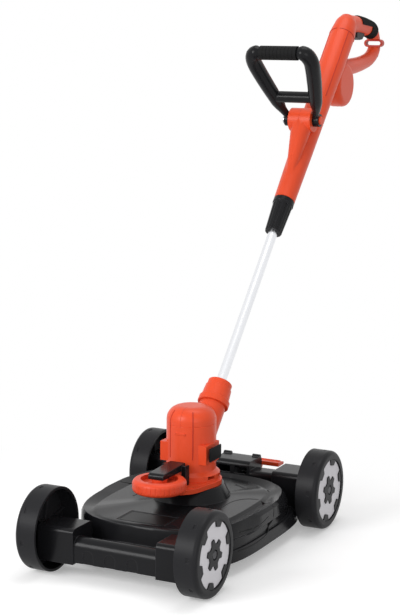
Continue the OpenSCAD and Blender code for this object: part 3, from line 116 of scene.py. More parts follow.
# Nodes whose steel is blackened
BLACKENED = ("wheel_axles", "edge_screw")

# Where the middle of the motor's plate lies along the machine, and its height above the ground
MOTOR_PLATE_Y, MOTOR_PLATE_Z = 24 * MM, 189 * MM
# How far the deck's plate lies behind the front of the edge wheel
DECK_PLATE_BACK = 5 * MM

# The seam's plane, just inside the left shells
SEAM_PLANE = (0.05 * MM, 0, 0)
# Shortest step along a seam
SEAM_STEP = 1.5 * MM

# Stations of the mould folds on the deck's left side, in millimetres
FOLDS = (
    (
        (96, -30, 96), (92, 4, 96), (96, 34, 96), (108, 52, 96), (124, 61, 96), (140, 61, 94),
        (154, 54, 94), (166, 45, 96), (175, 40, 92), (177, 39, 82), (175, 38, 66), (172, 33, 52),
        (172, 20, 44), (172, -4, 41), (172, -34, 40), (170, -68, 41), (167, -98, 43),
    ),
    ((168, -92, 77), (171, -64, 75), (175, -38, 74), (177, -10, 76), (177, 14, 81)),
)
# Share of a fold's half width that its middle is sunk
FOLD_SUNK = 0.75

# Shares of the handle shell's height where the barrel's side lines start and where its ring lies
BARREL_LINE_FROM, BARREL_RING = 0.5, 0.776
# Turn of the side lines from the side towards the front, and reach of the ring to either side
BARREL_LINE_TURN, BARREL_RING_REACH = math.radians(40), math.radians(84)

# Shares of the motor shell's height between which its upright lines run
MOTOR_LINE_FROM, MOTOR_LINE_TO = 0.3, 0.92
# How far the upright lines stand to the side and to the front
MOTOR_LINE_ASIDE, MOTOR_LINE_AHEAD = 0.5, 0.87

# Distance from the loop's pivot over which its arms fill out
LOOP_FULL_FROM, LOOP_FULL_TO = 26 * MM, 60 * MM
# Distance round the soft grip in which the loop keeps its size, and the length over which it eases
LOOP_KEPT, LOOP_EASE = 30 * MM, 12 * MM

# Half the floor's width, and how far from its middle it starts and ends turning white, in metres
FLOOR_HALF = 14
WHITE_FROM, WHITE_TO = 0.35, 0.85
# Light that the floor shows of its own, and the surround's strength as light
FLOOR_GLOW = 0.3
SURROUND = 0.5
# Each light's place and width in metres, and its power in watts
LIGHTS = {
    "key_light": ((-1.4, -3.0, 1.8), 1.8, 76),
    "fill_light": ((2.4, -2.6, 1.2), 2.0, 24),
    "top_light": ((0.2, 0.6, 3.2), 1.8, 22),
}
# The camera's yaw, pitch and roll in degrees, its place in metres, and its lens and sensor in millimetres
CAMERA_TURNS = (26.367, 9.874, 0.442)
CAMERA_PLACE = (1.40085, -2.75936, 1.01477)
CAMERA_LENS, CAMERA_SENSOR = 95.72, 36


# Sizes and colours

def srgb(red, green, blue):
    """An 8-bit screen colour as the linear colour that a shader takes."""
    def channel(value):
        share = value / 255
        return share / 12.92 if share <= 0.04045 else ((share + 0.055) / 1.055) ** 2.4
    return channel(red), channel(green), channel(blue)


def colour_property(label, description, default):
    """A colour that a user may change."""
    return FloatVectorProperty(name=label, description=description, subtype="COLOR", size=3,
                               min=0, max=1, default=default)


def length_property(label, description, millimetres):
    """A length that a user may change."""
    return FloatProperty(name=label, description=description, unit="LENGTH", min=0,
                         default=millimetres * MM)


class TrimmerColours(PropertyGroup):
    """Colours of the trimmer's finishes."""
    orange: colour_property("Orange", "Moulded housings, collar and pedal", srgb(224, 76, 40))
    edge_orange: colour_property("Edge wheel", "Moulded wheel of the edge guide", srgb(224, 74, 42))
    retainer_red: colour_property("Cord retainer", "Darker moulding of the cord retainer", srgb(186, 54, 34))
    deck_black: colour_property("Deck", "Black moulding of the deck and loops", srgb(24, 24, 26))
    wheel_black: colour_property("Wheels", "Black moulding of the wheels", srgb(35, 35, 37))
    fitting_grey: colour_property("Fittings", "Dark grey moulding of the small fittings", srgb(22, 22, 24))
    disc_grey: colour_property("Hub discs", "Pale moulding of the hub discs", srgb(208, 206, 210))
    rubber_black: colour_property("Rubber", "Soft grip covers", srgb(12, 12, 13))
    tube_silver: colour_property("Tube", "Bright drawn tube", srgb(236, 237, 240))
    black_steel: colour_property("Blackened steel", "Axle bolts", srgb(58, 58, 61))
    steel: colour_property("Steel", "Screws, pins and springs", srgb(176, 178, 182))
    iron: colour_property("Motor iron", "Stacked sheets of the motor", srgb(120, 118, 116))
    copper: colour_property("Copper", "Windings and contacts", srgb(190, 116, 66))
    carbon: colour_property("Carbon", "Motor brushes", srgb(30, 30, 32))
    line: colour_property("Cutting line", "Translucent cutting line", srgb(214, 214, 204))
    plate_black: colour_property("Plates", "Bare label plates", srgb(18, 18, 19))
    floor: colour_property("Floor", "Studio floor", (0.82, 0.82, 0.82))


class TrimmerSizes(PropertyGroup):
    """Sizes of the fitted pieces."""
    deck_plate_w: length_property("Deck plate width", "Across the deck", 98)
    deck_plate_l: length_property("Deck plate length", "Along the deck", 59)
    motor_plate_w: length_property("Motor plate width", "Along the motor's side", 50)
    motor_plate_h: length_property("Motor plate height", "Up the motor's side", 27)
    plate_t: length_property("Plate thickness", "How far a plate stands proud", 1.0)
    seam_r: length_property("Seam", "Half width of a parting seam", 0.25)
    line_r: length_property("Mould line", "Half width of a raised line on a housing", 1.2)
    fold_r: length_property("Deck fold", "Half width of a mould fold's bead on the deck", 2.4)
    loop_grow: length_property("Loop fullness", "How much fuller the loop's arms are than its solid", 4)
    rib_r: length_property("Grip rib", "Half width of a rubber rib", 0.8)
    rib_pitch: length_property("Rib spacing", "From one rubber rib to the next", 6)
    drive_l: length_property("Screw drive", "Length of a screw's cross slot", 3.4)
    drive_w: length_property("Slot width", "Width of a screw's cross slot", 0.8)


# Node trees and finishes

class Wire:
    """A socket in a node tree; arithmetic on it adds Math nodes."""

    def __init__(self, nodes, socket):
        self.nodes = nodes
        self.socket = socket

    def _maths(self, operation, first, second):
        return self.nodes.node("ShaderNodeMath", {"operation": operation}, {0: first, 1: second})

    def __add__(self, other):
        return self._maths("ADD", self, other)

    def __radd__(self, other):
        return self._maths("ADD", other, self)

    def __sub__(self, other):
        return self._maths("SUBTRACT", self, other)

    def __rsub__(self, other):
        return self._maths("SUBTRACT", other, self)

    def __mul__(self, other):
        return self._maths("MULTIPLY", self, other)

    def __rmul__(self, other):
        return self._maths("MULTIPLY", other, self)

    def clamped(self):
        """The value held between 0 and 1."""
        return self.nodes.node("ShaderNodeClamp", {}, {"Value": self})


class Nodes:
    """An emptied node tree, to which one method adds every node."""

    def __init__(self, tree):
        self.tree = tree
        tree.nodes.clear()

    def feed(self, socket, value):
        """Links a wire to a socket, or sets the socket's own value."""
        if isinstance(value, Wire):
            self.tree.links.new(value.socket, socket)
        elif socket.type == "RGBA":
            socket.default_value = (*value[:3], 1)
        else:
            socket.default_value = value

    def node(self, kind, settings, sockets, out=0):
        """Adds a node, with its settings first, and returns one of its outputs if it has any."""
        made = self.tree.nodes.new(kind)
        for key, value in settings.items():
            setattr(made, key, value)
        for key, value in sockets.items():
            self.feed(made.inputs[key], value)
        return Wire(self, made.outputs[out]) if made.outputs else None

    def seen(self):
        """1 where the camera sees it, straight or in metal or glass, and 0 where it only gives light."""
        camera, glossy, through = (self.node("ShaderNodeLightPath", {}, {}, f"Is {ray} Ray")
                                   for ray in ("Camera", "Glossy", "Transmission"))
        return (camera + glossy + through).clamped()


class Paint(Nodes):
    """One procedural finish: a material whose nodes are made by short calls."""

    def __init__(self, name, constants):
        label = f"trimmer_{name}"
        self.material = bpy.data.materials.get(label) or bpy.data.materials.new(label)
        self.material.use_nodes = True
        super().__init__(self.material.node_tree)
        self.surface = self.node("ShaderNodeBsdfPrincipled", {}, constants)

    def set(self, socket, value):
        """Feeds one of the shader's own sockets."""
        self.feed(self.surface.socket.node.inputs[socket], value)

    def done(self, surface=None):
        """Ends the tree in its shader, or in another surface, and returns the material."""
        self.node("ShaderNodeOutputMaterial", {}, {"Surface": surface or self.surface})
        return self.material

    def place(self, stretch=(1, 1, 1)):
        """Position on the piece, in metres."""
        where = self.node("ShaderNodeTexCoord", {}, {}, "Object")
        return self.node("ShaderNodeMapping", {}, {"Vector": where, "Scale": stretch})

    def noise(self, scale, detail=2, stretch=(1, 1, 1)):
        """Soft noise over the piece, from 0 to 1."""
        sockets = {"Vector": self.place(stretch), "Scale": scale, "Detail": detail}
        return self.node("ShaderNodeTexNoise", {}, sockets)

    def mix(self, share, first, second):
        """Mixes two colours, which a Mix node takes at sockets 6 and 7 and gives at output 2."""
        return self.node("ShaderNodeMix", {"data_type": "RGBA"}, {0: share, 6: first, 7: second}, 2)

    def rounded(self, radius):
        """Normal with the piece's edges rounded."""
        return self.node("ShaderNodeBevel", {"samples": 6}, {"Radius": radius})

    def edges(self, rounded, gain):
        """Where the piece's edges are, from 0 to 1."""
        flat = self.node("ShaderNodeNewGeometry", {}, {}, "Normal")
        same = self.node("ShaderNodeVectorMath", {"operation": "DOT_PRODUCT"}, {0: rounded, 1: flat}, "Value")
        return ((1 - same) * gain).clamped()

    def bump(self, height, depth, normal):
        """A normal raised and lowered by a height."""
        return self.node("ShaderNodeBump", {}, {"Height": height, "Distance": depth, "Normal": normal})


def shade(colour, share):
    """A colour made lighter or darker by a share."""
    return tuple(min(1, part * share) for part in colour)


def swing(noise, amount):
    """A noise about nothing, with an amount from its lowest to its highest."""
    return (noise - 0.5) * amount


def moulded_plastic(name, colour, rough, grain, edge_light, round_mm, shine=0.25):
    """Satin injection moulding: faint flow clouds, a spark-eroded grain and edges painted lighter as a
    highlight.
    """
    paint = Paint(name, {"Specular IOR Level": shine})
    clouds = paint.noise(7, 3)
    grains = paint.noise(1500, 2)
    rounded = paint.rounded(round_mm * MM)
    painted_edge_highlight = paint.edges(rounded, 5)
    body = paint.mix(clouds, shade(colour, 0.93), shade(colour, 1.07))
    # At the edges the colour is eased towards edge_light times itself: a painted highlight.
    paint.set("Base Color", paint.mix(painted_edge_highlight * 0.5, body, shade(colour, edge_light)))
    paint.set("Roughness", rough + swing(clouds, 0.12) + swing(grains, 0.1))
    paint.set("Normal", paint.bump(grains, grain * MM, rounded))
    return paint.done()


def soft_rubber(name, colour):
    """Matt rubber with a fine stipple and a little dust in it."""
    paint = Paint(name, {"Specular IOR Level": 0.2})
    stipple = paint.noise(1100, 1)
    dust = paint.noise(40, 4)
    paint.set("Base Color", paint.mix(dust * 0.25, colour, shade(colour, 1.9)))
    paint.set("Roughness", 0.72 + swing(dust, 0.16))
    paint.set("Normal", paint.bump(stipple, 0.12 * MM, paint.rounded(0.6 * MM)))
    return paint.done()


def drawn_metal(name, colour, rough, scratch, stretch=(1, 1, 0.1)):
    """Bare metal with fine lines along one way and a faint tarnish."""
    paint = Paint(name, {"Metallic": 1.0})
    lines = paint.noise(900, 2, stretch)
    tarnish = paint.noise(25, 3)
    paint.set("Base Color", paint.mix(tarnish * 0.5, colour, shade(colour, 0.9)))
    paint.set("Roughness", rough + swing(lines, 0.12) + swing(tarnish, 0.08))
    paint.set("Normal", paint.bump(lines, scratch * MM, paint.rounded(0.4 * MM)))
    return paint.done()


def clear_line(name, colour):
    """Milky nylon line."""
    paint = Paint(name, {"Subsurface Weight": 0.2, "Subsurface Scale": 0.002})
    ripple = paint.noise(300, 1)
    paint.set("Base Color", tuple(colour))
    paint.set("Roughness", 0.35 + swing(ripple, 0.15))
    return paint.done()


def make_finishes(colours):
    """Every finish, by the record's slot names and a few of its own."""
    # Each edge_light sets how much lighter a finish's edges are painted, as a highlight.
    moulded_plastic("black_plastic", colours.deck_black, 0.22, grain=0.03, edge_light=6.5, round_mm=2.0,
                    shine=0.13)
    moulded_plastic("wheel_plastic", colours.wheel_black, 0.38, grain=0.05, edge_light=2.2, round_mm=1.0,
                    shine=0.1)
    moulded_plastic("hub_plastic", colours.disc_grey, 0.42, grain=0.04, edge_light=1.1, round_mm=0.5)
    moulded_plastic("orange_plastic", colours.orange, 0.36, grain=0.04, edge_light=1.25, round_mm=1.0)
    moulded_plastic("edge_plastic", colours.edge_orange, 0.4, grain=0.04, edge_light=1.25, round_mm=0.5)
    moulded_plastic("retainer_plastic", colours.retainer_red, 0.4, grain=0.04, edge_light=1.25, round_mm=0.8)
    moulded_plastic("dark_plastic", colours.fitting_grey, 0.42, grain=0.05, edge_light=2.0, round_mm=0.6)
    moulded_plastic("plate", colours.plate_black, 0.3, grain=0.01, edge_light=1.8, round_mm=0.3, shine=0.08)
    soft_rubber("rubber", colours.rubber_black)
    soft_rubber("carbon", colours.carbon)
    drawn_metal("tube_metal", colours.tube_silver, 0.3, scratch=0.01, stretch=(1, 0.05, 0.05))
    drawn_metal("black_steel", colours.black_steel, 0.36, scratch=0.02)
    drawn_metal("steel", colours.steel, 0.34, scratch=0.02)
    drawn_metal("motor_iron", colours.iron, 0.5, scratch=0.05, stretch=(0.02, 0.02, 1))
    drawn_metal("copper", colours.copper, 0.38, scratch=0.03)
    clear_line("line", colours.line)


def finish(name):
    """A finish that is already made."""
    return bpy.data.materials[f"trimmer_{name}"]


def smoothing_group():
    """Geometry nodes that join a mesh's split points and smooth it, save at its sharp edges."""
    name = "trimmer_smoothing"
    if name in bpy.data.node_groups:
        return bpy.data.node_groups[name]
    tree = bpy.data.node_groups.new(name, "GeometryNodeTree")
    for way in ("INPUT", "OUTPUT"):
        tree.interface.new_socket("Geometry", in_out=way, socket_type="NodeSocketGeometry")
    nodes = Nodes(tree)
    mesh = nodes.node("NodeGroupInput", {}, {})
    mesh = nodes.node("GeometryNodeRemoveAttribute", {}, {"Geometry": mesh, "Name": "custom_normal"})
    mesh = nodes.node("GeometryNodeMergeByDistance", {}, {"Geometry": mesh, "Distance": WELD})
    mesh = nodes.node("GeometryNodeSetShadeSmooth", {"domain": "FACE"}, {"Geometry": mesh})
    angle = nodes.node("GeometryNodeInputMeshEdgeAngle", {}, {}, "Unsigned Angle")
    blunt = nodes.node("FunctionNodeCompare", {"operation": "LESS_THAN"}, {0: angle, 1: BLUNT})
    sockets = {"Geometry": mesh, "Shade Smooth": blunt}
    mesh = nodes.node("GeometryNodeSetShadeSmooth", {"domain": "EDGE"}, sockets)
    nodes.node("NodeGroupOutput", {}, {0: mesh})
    return tree


def smooth(piece):
    """Smooth shading from modifiers alone, so that the piece's own points stay as they are."""
    nodes = piece.modifiers.new("smoothing", "NODES")
    nodes.node_group = smoothing_group()
    weights = piece.modifiers.new("even_normals", "WEIGHTED_NORMAL")
    weights.keep_sharp = True
    weights.weight = 90


# Shapes, each as its points and faces

def spread(first, last, steps):
    """Evenly spaced values from first to last."""
    return [first + (last - first) * k / steps for k in range(steps + 1)]


def between(first, second, angle):
    """The way that lies at an angle from one way towards another."""
    return first * math.cos(angle) + second * math.sin(angle)


def eased(value, low, high):
    """A share that rises smoothly from 0 at low to 1 at high."""
    share = min(1, max(0, (value - low) / (high - low)))
    return share * share * (3 - 2 * share)


def together(shapes):
    """Several shapes as one."""
    points, faces = [], []
    for more, sides in shapes:
        start = len(points)
        points += more
        faces += [tuple(start + k for k in side) for side in sides]
    return points, faces


def skinned(rings):
    """A closed skin over rings that have equally many points."""
    sides = len(rings[0])
    points = [p for ring in rings for p in ring]
    faces = [tuple(range(sides))[::-1], tuple(range(len(points) - sides, len(points)))]
    for start in range(0, len(points) - sides, sides):
        for k in range(sides):
            a, b = start + k, start + (k + 1) % sides
            faces.append((a, b, b + sides, a + sides))
    return points, faces


def stacked(levels):
    """A closed stack of outlines, each given as (outline, height)."""
    return skinned([[(x, y, z) for x, y in outline] for outline, z in levels])


def placed(shape, matrix):
    """A shape moved by a matrix."""
    points, faces = shape
    return [matrix @ Vector(p) for p in points], faces


def axes_at(centre, across, along):
    """A matrix whose X and Y lie along two given ways, with its origin at centre."""
    x = Vector(across).normalized()
    y = (Vector(along) - x * x.dot(Vector(along))).normalized()
    turned = Matrix((x, y, x.cross(y))).transposed().to_4x4()
    return Matrix.Translation(centre) @ turned


def rounded_outline(width, height, corner, steps=5):
    """Points round a rectangle with rounded corners, about its middle."""
    points = []
    for turn, (sx, sy) in enumerate(((1, 1), (-1, 1), (-1, -1), (1, -1))):
        for step in range(steps + 1):
            a = math.radians(90 * (turn + step / steps))
            points.append((sx * (width / 2 - corner) + corner * math.cos(a),
                           sy * (height / 2 - corner) + corner * math.sin(a)))
    return points


def bordered_plate(width, height, thick, corner, border, sink):
    """A bare plate with a raised border round a sunk face."""
    soft = thick * 0.4

    def level(inset, round_corner, z):
        return rounded_outline(width - 2 * inset, height - 2 * inset, round_corner), z

    return stacked([
        level(0, corner, -thick),
        level(0, corner, thick - soft),
        level(soft, corner - soft, thick),
        level(border, corner - border / 2, thick),
        level(border + sink / 2, corner - border / 2, thick - sink),
    ])


def cross_slot(length, width, depth):
    """A thin cross, about its middle, that stands in for a screw's cross slot."""
    bars = []
    for x, y in ((length / 2, width / 2), (width / 2, length / 2)):
        outline = [(-x, -y), (x, -y), (x, y), (-x, y)]
        bars.append(stacked([(outline, -depth), (outline, depth)]))
    return together(bars)


def rod(line, radius, sides):
    """A round bead along a line."""
    turns = [2 * math.pi * k / sides for k in range(sides)]
    last = len(line) - 1
    ways = [(line[min(i + 1, last)] - line[max(i - 1, 0)]).normalized() for i in range(len(line))]
    side = ways[0].orthogonal().normalized()
    rings = []
    for place, way in zip(line, ways):
        side = (side - way * side.dot(way)).normalized()
        other = way.cross(side)
        rings.append([place + radius * between(side, other, a) for a in turns])
    return skinned(rings)


def bead(lines, radius, sides=6):
    """Round beads along lines."""
    return together(rod(line, radius, sides) for line in lines)


def smooth_line(stations, steps=6):
    """A smooth line of points through stations."""
    line = []
    for i in range(len(stations) - 1):
        a, b, c, d = (stations[min(max(i + k, 0), len(stations) - 1)] for k in (-1, 0, 1, 2))
        for step in range(steps):
            t = step / steps
            line.append(0.5 * (2 * b + (c - a) * t + (2 * a - 5 * b + 4 * c - d) * t ** 2
                               + (3 * b - 3 * c + d - a) * t ** 3))
    return [*line, stations[-1]]


def line_length(line):
    """Length of a line of points."""
    return sum((b - a).length for a, b in zip(line, line[1:]))


def thinned(line, gap):
    """A line without points closer together than gap."""
    kept = [line[0]]
    for p in line[1:]:
        if (p - kept[-1]).length >= gap:
            kept.append(p)
    return kept


def runs(places, gap):
    """Lines through places, broken where one is missing or further off than gap."""
    lines = [[]]
    for place in places:
        if place is None or (lines[-1] and (place - lines[-1][-1]).length > gap):
            lines.append([])
        if place is not None:
            lines[-1].append(place)
    return [line for line in lines if len(line) > 2]


# What the CAD nodes look like

def welded(node):
    """A CAD node's mesh with its split points joined, to be freed after use."""
    mesh = bmesh.new()
    mesh.from_mesh(NODES[node].data)
    bmesh.ops.remove_doubles(mesh, verts=mesh.verts, dist=WELD)
    return mesh


def chain(tip, edges):
    """Places from a tip onward along edges, which are used up."""
    places = [tip.co.copy()]
    while True:
        step = next((e for e in tip.link_edges if e in edges), None)
        if step is None:
            return places
        del edges[step]
        tip = step.other_vert(tip)
        places.append(tip.co.copy())


def section_lines(node, point, normal):
    """The lines in which a plane cuts a CAD node, each as a list of places."""
    mesh = welded(node)
    geometry = mesh.verts[:] + mesh.edges[:] + mesh.faces[:]
    cut = bmesh.ops.bisect_plane(mesh, geom=geometry, plane_co=point, plane_no=normal)["geom_cut"]
    edges = dict.fromkeys(e for e in cut if isinstance(e, bmesh.types.BMEdge))
    lines = []
    while edges:
        first = next(iter(edges))
        del edges[first]
        ahead = chain(first.verts[1], edges)
        lines.append(chain(first.verts[0], edges)[::-1] + ahead)
    mesh.free()
    return lines


def islands(node):
    """The separate closed pieces of a CAD node, each as its places."""
    mesh = welded(node)
    left = dict.fromkeys(mesh.verts)
    found = []
    while left:
        first = next(iter(left))
        del left[first]
        group = [first]
        for point in group:
            for other in [e.other_vert(point) for e in point.link_edges]:
                if other in left:
                    del left[other]
                    group.append(other)
        found.append([v.co.copy() for v in group])
    mesh.free()
    return found


def skin(node, inside, way, reach=120 * MM):
    """Where a CAD node's outer face lies from a point inside it, or nothing if it isn't there."""
    hit, where, normal, _ = NODES[node].ray_cast(inside + way * reach, -way)
    return where if hit and normal.dot(way) > FACING else None


def open_to(node, place):
    """Whether a place on a CAD node's skin looks out into the open, straight and to both sides."""
    _, where, normal, _ = NODES[node].closest_point_on_mesh(place)
    aside = LEFT.cross(normal) * 0.8
    ways = (normal, normal + aside, normal - aside)
    return not any(NODES[node].ray_cast(where + way * MM, way)[0] for way in ways)


def sunk(node, line, depth, passes=6):
    """A line laid under a CAD node's skin at a depth, and evened out."""
    laid = []
    for place in line:
        _, where, normal, _ = NODES[node].closest_point_on_mesh(place)
        laid.append(where - normal * depth)
    for _ in range(passes):
        evened = [(a + 2 * b + c) / 4 for a, b, c in zip(laid, laid[1:], laid[2:])]
        laid = [laid[0], *evened, laid[-1]]
    return laid


def reach_along(node, point, way):
    """Lowest and highest place of a CAD node along a way."""
    places = [(v.co - point).dot(way) for v in NODES[node].data.vertices]
    return min(places), max(places)


def long_way(node, passes=20):
    """Middle of a CAD node and the way along which it is longest."""
    points = [v.co for v in NODES[node].data.vertices]
    middle = sum(points, Vector()) / len(points)
    way = Vector((0, 1, 0))
    for _ in range(passes):
        way = sum(((p - middle) * (p - middle).dot(way) for p in points), Vector()).normalized()
    return middle, way


def barrel_axis():
    """The barrel's axis, from the joints along it: a point, the way up and the way to the front."""
    up = Vector(JOINTS["telescope"]["axis"]).normalized()
    return Vector(JOINTS["shaft_twist"]["pos_m"]), up, LEFT.cross(up)


def deck_top_under(x, y):
    """Height of the deck's top at a place, by a ray from above."""
    above = Vector((x, y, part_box("deck")[1].z + 10 * MM))
    hit, where, _, _ = NODES["deck"].ray_cast(above, Vector((0, 0, -1)))
    if not hit:
        raise RuntimeError("no deck below the plate")
    return where.z


def push_at(joint, place):
    """How far, and which way, a joint's longer travel moves a place."""
    axis = Vector(joint["axis"]).normalized()
    if joint["type"] == "slide":
        return axis * max(joint["range_m"], key=abs)
    turn = math.radians(max(joint["range_deg"], key=abs))
    return axis.cross(place - Vector(joint["pos_m"])) * turn


# Pieces

def add_object(name, data):
    """A new object in the scene."""
    made = bpy.data.objects.new(name, data)
    bpy.context.scene.collection.objects.link(made)
    return made


def make_piece(name, shape, paint, body):
    """A new mesh that rides on a CAD body, with a finish, and with that finish's slot or another."""
    points, faces = shape
    mesh = bpy.data.meshes.new(name)
    mesh.from_pydata([tuple(p) for p in points], [], faces)
    outward = bmesh.new()
    outward.from_mesh(mesh)
    bmesh.ops.recalc_face_normals(outward, faces=outward.faces)
    outward.to_mesh(mesh)
    outward.free()
    piece = add_object(name, mesh)
    mesh.materials.append(finish(paint))
    smooth(piece)
    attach(piece, body)
    return piece


class TRIMMER_OT_finishes(Operator):
    """Give every CAD node its moulded, metal or rubber finish."""
    bl_idname = "trimmer.finishes"
    bl_label = "Finishes"

    def execute(self, context):
        make_finishes(context.scene.trimmer_colours)
        for node, piece in NODES.items():
            piece.data.materials.clear()
            piece.data.materials.append(finish("black_steel" if node in BLACKENED else SLOTS[node]))
            smooth(piece)
        return {"FINISHED"}


class TRIMMER_OT_springs(Operator):
    """Put a rigid copy of each spring that a joint lists as deforming in place of the spring itself."""
    bl_idname = "trimmer.springs"
    bl_label = "Springs"

    def execute(self, context):
        for joint in JOINTS.values():
            for item in joint.get("deforming_nodes", ()):
                self.squeeze(item["node"], joint)
        return {"FINISHED"}

    def squeeze(self, node, joint):
        """A copy of a spring, riding on the spring's own body, shown in place of it."""
        mesh = NODES[node].data.copy()
        mesh.name = f"{node}_coil"
        coil = add_object(mesh.name, mesh)
        smooth(coil)
        middle = sum((Vector(corner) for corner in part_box(node)), Vector()) / 2
        push = push_at(joint, middle)
        way = push.normalized()
        low, high = reach_along(node, middle, way)
        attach(coil, body_of(NODES[node])[0])
        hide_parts(node)
        middle + way * high
        1 - push.length / (high - low)
        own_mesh(coil)


class TRIMMER_OT_deck_plate(Operator):
    """Lay the bare label plate on the deck in front of the motor."""
    bl_idname = "trimmer.deck_plate"
    bl_label = "Deck plate"

    def execute(self, context):
        sizes = context.scene.trimmer_sizes
        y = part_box("edge_wheel")[0].y + DECK_PLATE_BACK
        matrix = axes_at((0, y, deck_top_under(0, y)), LEFT, (0, 1, 0))
        plate = bordered_plate(sizes.deck_plate_w, sizes.deck_plate_l, sizes.plate_t,
                               corner=4 * MM, border=2.5 * MM, sink=0.4 * MM)
        make_piece("deck_plate", placed(plate, matrix), "plate", "deck")
        return {"FINISHED"}


class TRIMMER_OT_motor_plate(Operator):
    """Set a bare label plate on the left side pad of the motor housing."""
    bl_idname = "trimmer.motor_plate"
    bl_label = "Motor plate"

    def execute(self, context):
        sizes = context.scene.trimmer_sizes
        centre = (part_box("motor_shell_left")[1].x, MOTOR_PLATE_Y, MOTOR_PLATE_Z)
        matrix = axes_at(centre, (0, 1, 0), (0, 0, 1))
        plate = bordered_plate(sizes.motor_plate_w, sizes.motor_plate_h, sizes.plate_t,
                               corner=3 * MM, border=1.5 * MM, sink=0.3 * MM)
        make_piece("motor_plate", placed(plate, matrix), "plate", "deck")
        return {"FINISHED"}


class TRIMMER_OT_seams(Operator):
    """Run the parting seams round the motor and handle housings."""
    bl_idname = "trimmer.seams"
    bl_label = "Parting seams"

    def execute(self, context):
        radius = context.scene.trimmer_sizes.seam_r
        for node, body in (("motor_shell_left", "deck"), ("handle_shell_left", "handle")):
            longest = max(section_lines(node, SEAM_PLANE, LEFT), key=line_length)
            places = [p if open_to(node, p) else None for p in thinned(longest, SEAM_STEP)]
            seam = bead(runs(places, gap=12 * MM), radius)
            make_piece(f"{node}_seam", seam, "retainer_plastic", body)
        return {"FINISHED"}


class TRIMMER_OT_deck_folds(Operator):
    """Draw the mould folds on each side of the deck, as beads in the darker plate finish that paint shade
    along the creases.
    """
    bl_idname = "trimmer.deck_folds"
    bl_label = "Deck folds"

    def execute(self, context):
        radius = context.scene.trimmer_sizes.fold_r
        for side, name in ((1, "left"), (-1, "right")):
            lines = []
            for fold in FOLDS:
                line = smooth_line([Vector((side * x, y, z)) * MM for x, y, z in fold])
                lines.append(sunk("deck", line, radius * FOLD_SUNK))
            # The plate finish is darker than the deck: these beads are painted shade along the folds'
            # creases.
            make_piece(f"deck_folds_{name}", bead(lines, radius, 12), "plate", "deck")
        return {"FINISHED"}


class TRIMMER_OT_barrel_lines(Operator):
    """Raise a mould line along each side of the barrel and one round its top, in darker red as painted shade
    along the creases and groove.
    """
    bl_idname = "trimmer.barrel_lines"
    bl_label = "Barrel lines"

    def execute(self, context):
        radius = context.scene.trimmer_sizes.line_r
        point, up, front = barrel_axis()
        for side, node in ((LEFT, "handle_shell_left"), (-LEFT, "handle_shell_right")):
            low, high = reach_along(node, point, up)
            start, ring = (low + (high - low) * share for share in (BARREL_LINE_FROM, BARREL_RING))
            out = between(side, front, BARREL_LINE_TURN)
            upright = [skin(node, point + up * h, out) for h in spread(start, ring, 60)]
            turns = spread(-BARREL_RING_REACH, BARREL_RING_REACH, 28)
            round_top = [skin(node, point + up * ring, between(side, front, a)) for a in turns]
            lines = runs(upright, gap=5 * MM) + runs(round_top, gap=8 * MM)
            # The darker red of these lines is painted shade along the barrel's creases and top groove.
            make_piece(f"{node}_lines", bead(lines, radius), "retainer_plastic", "handle")
        return {"FINISHED"}


class TRIMMER_OT_motor_lines(Operator):
    """Raise an upright mould line on each front quarter of the motor housing, in darker red as painted shade
    along its creases.
    """
    bl_idname = "trimmer.motor_lines"
    bl_label = "Motor lines"

    def execute(self, context):
        radius = context.scene.trimmer_sizes.line_r
        axis = Vector(JOINTS["spool_spin"]["pos_m"])
        for side, node in ((1, "motor_shell_left"), (-1, "motor_shell_right")):
            low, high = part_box(node)
            start, end = (low.z + (high.z - low.z) * share for share in (MOTOR_LINE_FROM, MOTOR_LINE_TO))
            out = Vector((side * MOTOR_LINE_ASIDE, -MOTOR_LINE_AHEAD, 0)).normalized()
            upright = [skin(node, Vector((axis.x, axis.y, z)), out) for z in spread(start, end, 50)]
            lines = bead(runs(upright, gap=6 * MM), radius)
            # The darker red of these lines is painted shade along the motor housing's creases.
            make_piece(f"{node}_lines", lines, "retainer_plastic", "deck")
        return {"FINISHED"}


class TRIMMER_OT_grip_ribs(Operator):
    """Raise ribs across the rubber of the rear grip."""
    bl_idname = "trimmer.grip_ribs"
    bl_label = "Grip ribs"

    def execute(self, context):
        sizes = context.scene.trimmer_sizes
        middle, way = long_way("rubber_grip")
        low, high = reach_along("rubber_grip", middle, way)
        over = LEFT.cross(way)
        over = over if over.z > 0 else -over
        ways = [between(LEFT, over, a) for a in spread(0, 2 * math.pi, 60)]
        lines = []
        for k in range(1, int((high - low) / sizes.rib_pitch)):
            inside = middle + way * (low + k * sizes.rib_pitch) - over * 6 * MM
            lines += runs([skin("rubber_grip", inside, out, 60 * MM) for out in ways], gap=8 * MM)
        make_piece("grip_ribs", bead(lines, sizes.rib_r), "rubber", "handle")
        return {"FINISHED"}


class TRIMMER_OT_loop(Operator):
    """Fill out the arms of the auxiliary loop, away from its pivot and its soft grip."""
    bl_idname = "trimmer.loop"
    bl_label = "Auxiliary loop"

    def execute(self, context):
        grow = context.scene.trimmer_sizes.loop_grow
        pivot = Vector(JOINTS["aux_pivot"]["pos_m"])
        low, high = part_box("aux_grip")
        bar = (low + high) / 2
        full = welded("aux_loop")
        full.normal_update()
        points = []
        for v in full.verts:
            share = eased((v.co - pivot).yz.length, LOOP_FULL_FROM, LOOP_FULL_TO)
            if (v.co - bar).yz.length < LOOP_KEPT:
                share *= eased(abs(v.co.x) - high.x, 0, LOOP_EASE)
            points.append(v.co + v.normal * grow * share)
        full.verts.index_update()
        faces = [[v.index for v in face.verts] for face in full.faces]
        full.free()
        loop = make_piece("aux_loop_full", (points, faces), SLOTS["aux_loop"], "aux_handle")
        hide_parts("aux_loop")
        return {"FINISHED"}


